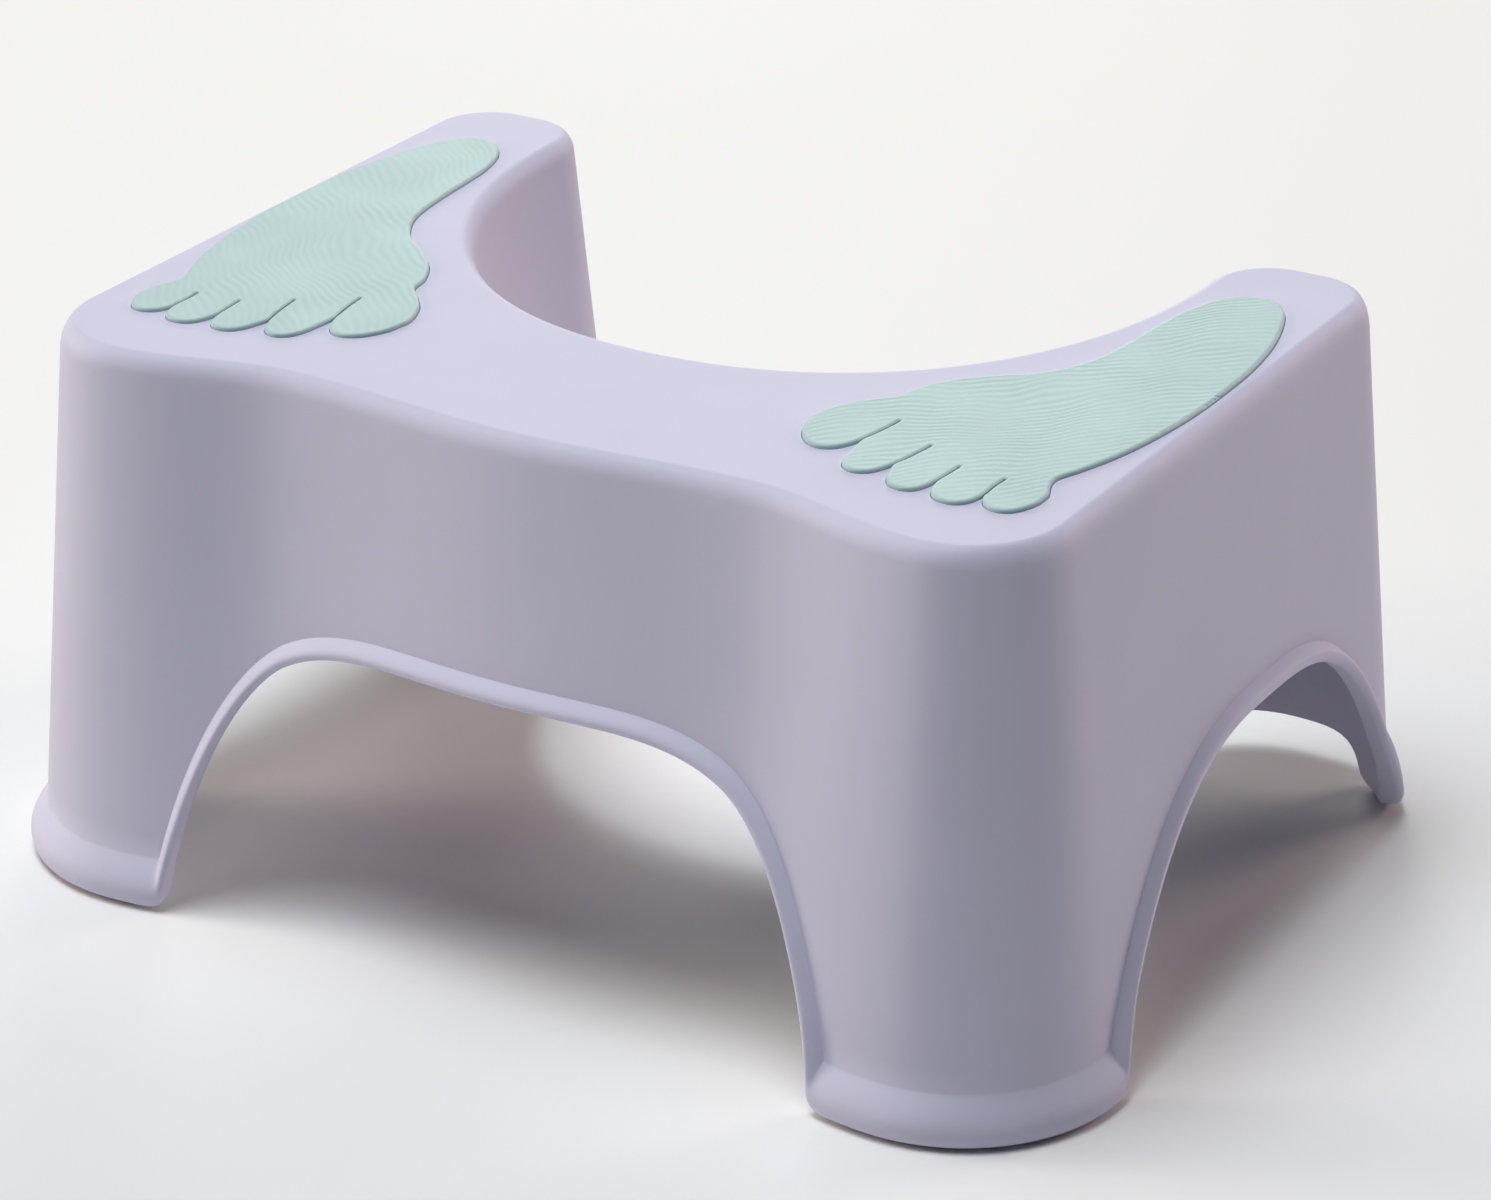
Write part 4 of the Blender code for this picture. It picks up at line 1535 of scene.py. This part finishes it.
    def build(self, shell: MouldedShell) -> bpy.types.Object:
        """Makes the left mat: its top, its side, its underside and its studs.

        Args:
            shell: The shell whose ribs the studs clear.

        Returns:
            The mat.
        """
        edge = self.outline(0.0, True)
        places, faces = self.net(edge)
        mesh = bpy.data.meshes.new("left_foot_mat_rubber")
        mesh.from_pydata(np.column_stack([places, self.surface(edge, places)]).tolist(), [], faces.tolist())
        mat = placed("left_foot_mat_rubber", mesh)
        floor = self.deck.height - self.recess_depth + self.clearance
        drop = floor - (self.top - self.edge_radius)
        with EditBench(mat) as bench:
            bench.edges(lambda border: border.is_boundary)
            bpy.ops.mesh.extrude_edges_move(TRANSFORM_OT_translate={"value": (0, 0, drop)})
            bench.close()
        for place in self.stud_places(shell):
            combine(mat, self.stud(place, floor, shell.under), Cut.ADD)
        return mat

    def stud(self, place: Pair, floor: float, under: float) -> bpy.types.Object:
        """One stud with a chamfered head that snaps under the deck.

        Args:
            place: Its middle in plan.
            floor: Height of the mat's underside.
            under: Height of the deck's underside.

        Returns:
            The closed stud.
        """
        low = under - self.stud_reach
        body = cylinder("stud", place, self.stud_radius, low, floor + self.stud_sink, self.stud_sides)
        with EditBench(body) as bench:
            bench.edges(lambda edge: all(vert.co.z < low + TOUCH for vert in edge.verts))
            bpy.ops.mesh.bevel(offset=self.stud_chamfer, segments=self.stud_chamfer_steps)
        return body

    def recess(self) -> bpy.types.Object:
        """Makes the tool that cuts the left mat's recess, with a small chamfer round its mouth.

        Returns:
            The closed tool.
        """
        floor, top = self.deck.height - self.recess_depth, self.deck.height
        outline = self.outline(self.recess_gap, False)
        chamfer = self.recess_chamfer
        levels = [(floor, 0.0), (top - chamfer, 0.0), (top, chamfer), (top + SPARE, chamfer)]
        return prism("mat_recess", outline, levels)

    def holes(self, shell: MouldedShell) -> bpy.types.Object:
        """Makes the tool that cuts the left mat's stud holes.

        Args:
            shell: The shell whose ribs the studs clear.

        Returns:
            The tool, one closed cylinder for each stud.
        """
        radius, top = self.stud_radius + self.clearance, self.deck.height
        low = top - self.hole_depth
        return join([cylinder("stud_hole", place, radius, low, top) for place in self.stud_places(shell)])

    def dress(self, mat: bpy.types.Object, side: Side, finish: SoftRubber) -> None:
        """Shades a mat smooth, gives it its finish and marks its ripples, which also paint shade down its
        rounded edge and side.

        Args:
            mat: The mat.
            side: Which foot it is for.
            finish: The rubber.
        """
        put_finish(mat, self.smooth_angle, finish.material())
        places = vectors_of(mat.data, "co").astype(float)
        # Painted shade: the ripple mark falls to 0 down the rounded edge and side, which so take the darker
        # valley colour.
        upper = smooth_share(places[:, 2], self.top - 2 * self.edge_radius, self.top - self.ripples.depth)
        mark(mat.data, "ripple", self.ripple(places[:, :2] * (side.value, 1.0)) * upper)
        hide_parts(f"{side.name.lower()}_foot_mat")
        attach(mat, "root")


@dataclass
class GripPads:
    """The four rubber strips pressed into grooves under the feet, ribbed where they meet the floor."""

    deck: DeckPlan
    rim: RimPlan
    wall: float = 0.003
    groove_depth: float = 0.003
    groove_width: float = 0.0032
    front_margin: float = 0.009
    back_margin: float = 0.003
    clearance: float = 0.0003
    rib_pitch: float = 0.0016
    rib_depth: float = 0.0004
    edge: float = 0.00025
    rib_steps: int = 6
    rib_power: int = 3
    least_ribs: int = 2
    groove_points: int = 60
    smooth_angle: float = 40.0

    @property
    def middle(self) -> float:
        """How far a strip's middle stands off the drafted wall."""
        return (self.rim.bead_proud / 2 - self.wall) / 2

    def stretch(self, end: End) -> Pair:
        """Where a strip starts and ends along the outline.

        Args:
            end: Which end of the stool it is at.

        Returns:
            Both places.
        """
        if end is End.FRONT:
            return self.rim.front_end + self.front_margin, self.rim.side_from - self.front_margin
        return self.rim.side_to + self.back_margin, self.rim.back_from - self.back_margin

    def groove(self, end: End) -> bpy.types.Object:
        """Makes the tool that cuts a left groove.

        Args:
            end: Which end of the stool it is at.

        Returns:
            The closed tool.
        """
        places = np.linspace(*self.stretch(end), self.groove_points)
        half = self.groove_width / 2
        outer = self.deck.wrap(places, 0.0, self.middle + half)
        inner = self.deck.wrap(places, 0.0, self.middle - half)
        ring = np.vstack([outer, inner[::-1]])
        levels = (-SPARE, self.rim.foot_level + self.groove_depth)
        return lofted(f"{end.value}_groove", np.array([ring * (1, 1, 0) + (0, 0, level) for level in levels]))

    def build(self, end: End) -> bpy.types.Object:
        """Makes a left strip, as sections that follow the foot.

        Args:
            end: Which end of the stool it is at.

        Returns:
            The strip.
        """
        start, stop = self.stretch(end)
        start, stop = start + self.clearance, stop - self.clearance
        count = max(self.least_ribs, round((stop - start) / self.rib_pitch)) * self.rib_steps + 1
        places = np.linspace(start, stop, count)
        half = self.groove_width / 2 - self.clearance
        top = self.rim.foot_level + self.groove_depth - self.clearance
        wave = 0.5 - 0.5 * np.cos(2 * math.pi * (places - start) / self.rib_pitch)
        lift = self.rib_depth * wave ** self.rib_power
        edge = self.edge
        # Off the middle, whether the floor ribs lift it, and height, round the strip's section.
        section = [
            (-half, 1.0, edge), (-half + edge, 1.0, 0.0), (0.0, 1.0, 0.0), (half - edge, 1.0, 0.0),
            (half, 1.0, edge), (half, 0.0, top - edge), (half - edge, 0.0, top),
            (-half + edge, 0.0, top), (-half, 0.0, top - edge),
        ]
        rings = np.zeros((count, len(section), 3))
        for index, (off, lifted, level) in enumerate(section):
            flat = self.deck.wrap(places, 0.0, self.middle + off)
            rings[:, index] = flat * (1, 1, 0)
            rings[:, index, 2] = level + lift * lifted
        return lofted(f"{end.value}_left_grip_strip", rings)

    def dress(self, strip: bpy.types.Object, end: End, side: Side, finish: SoftRubber) -> None:
        """Shades a strip and gives it its finish.

        Args:
            strip: The strip.
            end: Which end of the stool it is at.
            side: Which side it is on.
            finish: The rubber.
        """
        put_finish(strip, self.smooth_angle, finish.material())
        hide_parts(f"{end.value}_{side.name.lower()}_foot_pad")
        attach(strip, "root")


# The room

def towards(azimuth: float, elevation: float) -> Vector:
    """Unit vector from the stool towards an azimuth from the front and an elevation, in radians."""
    level = math.cos(elevation)
    return Vector((math.sin(azimuth) * level, -math.cos(azimuth) * level, math.sin(elevation)))


@dataclass(frozen=True)
class SoftBox:
    """One large soft light, at an azimuth from the front and an elevation, turned to the stool."""

    name: str
    azimuth: float
    elevation: float
    power: Triple
    size: float = 1.7
    distance: float = 4.2
    aim: Triple = (0.0, 0.0, 0.1)

    def hang(self) -> None:
        """Hangs the light and turns it to what it lights."""
        lamp = bpy.data.lights.new(self.name, "AREA")
        lamp.shape = "DISK"
        lamp.size = self.size
        lamp.energy = max(self.power)
        lamp.color = [part / lamp.energy for part in self.power]
        away = towards(math.radians(self.azimuth), math.radians(self.elevation))
        thing = placed(self.name, lamp)
        thing.visible_camera = False
        thing.location = Vector(self.aim) + away * self.distance
        thing.rotation_euler = (-away).to_track_quat("-Z", "Y").to_euler()


@dataclass
class Studio:
    """The pale floor, the soft lights and the camera that stands where the photograph was taken."""

    azimuth: float = 31.1412
    elevation: float = 25.1355
    roll: float = -0.22658
    distance: float = 1.42785
    target: Triple = (0.009316, 0.004258, 0.078091)
    focal_pixels: float = 4621.5
    image_width: int = 1491
    sensor: float = 36.0
    clip: Pair = (0.05, 60.0)
    floor_size: float = 30.0
    floor_drop: float = 0.02 * MM
    sky: Triple = (1.0, 1.0, 1.0)
    sky_strength: float = 0.03
    # Name, azimuth, elevation, power in red, green and blue, and size.
    boxes: tuple[SoftBox, ...] = (
        SoftBox("top_front_light", -30, 78, (83.5, 87.0, 90.0), 2.3),
        SoftBox("top_right_light", -90, 78, (52.0, 56.5, 59.5), 2.3),
        SoftBox("front_right_light", -71, 15, (87.5, 74.5, 61.0)),
        SoftBox("far_right_light", -150, 15, (40.0, 40.5, 35.0)),
        SoftBox("back_left_light", 150, 15, (71.0, 56.5, 52.5)),
    )

    def lay_floor(self, finish: PaleFloor) -> None:
        """Lays the floor, a hair below the pads.

        Args:
            finish: The floor's finish.
        """
        bpy.ops.object.select_all(action="DESELECT")
        bpy.ops.mesh.primitive_plane_add(size=self.floor_size, location=(0, 0, -self.floor_drop))
        floor = fresh("studio_floor")
        floor.data.materials.append(finish.material())

    def light(self) -> None:
        """Lights the sky and hangs the soft boxes."""
        scene = bpy.context.scene
        world = bpy.data.worlds.new("studio_sky")
        world.use_nodes = True
        background = world.node_tree.nodes["Background"]
        background.inputs["Color"].default_value = rgba(self.sky)
        background.inputs["Strength"].default_value = self.sky_strength
        scene.world = world
        scene.view_settings.view_transform = "Standard"
        for box in self.boxes:
            box.hang()

    def stand_camera(self) -> None:
        """Stands the camera at the photograph's place and angle."""
        azimuth, elevation, roll = np.radians((self.azimuth, self.elevation, self.roll))
        back = towards(azimuth, elevation)
        level = Vector((math.cos(azimuth), math.sin(azimuth), 0.0))
        upright = back.cross(level)
        right = level * math.cos(roll) + upright * math.sin(roll)
        up = upright * math.cos(roll) - level * math.sin(roll)
        lens = bpy.data.cameras.new("photo_camera")
        lens.sensor_width = self.sensor
        lens.lens = self.sensor * self.focal_pixels / self.image_width
        lens.clip_start, lens.clip_end = self.clip
        camera = placed("photo_camera", lens)
        turn = Matrix((right, up, back)).transposed().to_4x4()
        camera.matrix_world = Matrix.Translation(Vector(self.target) + back * self.distance) @ turn
        bpy.context.scene.camera = camera


def main() -> None:
    """Builds the stool and the room round it, and reports each piece."""
    logging.basicConfig(level=logging.INFO, format="%(message)s")
    studio = Studio()
    studio.stand_camera()
    deck = DeckPlan()
    rim = RimPlan(deck)
    shell, mat, pads = MouldedShell(deck, rim), GripMat(deck), GripPads(deck, rim)
    shell.build()
    for tool in (mat.recess(), mat.holes(shell), *(pads.groove(end) for end in End)):
        shell.cut((tool, mirrored(tool, f"{tool.name}_right")))
    shell.dress(SatinPlastic())
    made = [shell.body]
    for piece, side in both_sides(mat.build(shell), "right_foot_mat_rubber"):
        mat.dress(piece, side, MINT_RUBBER)
        made.append(piece)
    for end in End:
        for piece, side in both_sides(pads.build(end), f"{end.value}_right_grip_strip"):
            pads.dress(piece, end, side, GREY_RUBBER)
            made.append(piece)
    studio.lay_floor(PaleFloor())
    studio.light()
    for piece in made:
        LOG.info("%s: %d points, %d faces", piece.name, len(piece.data.vertices), len(piece.data.polygons))


if __name__ == "__main__":
    main()
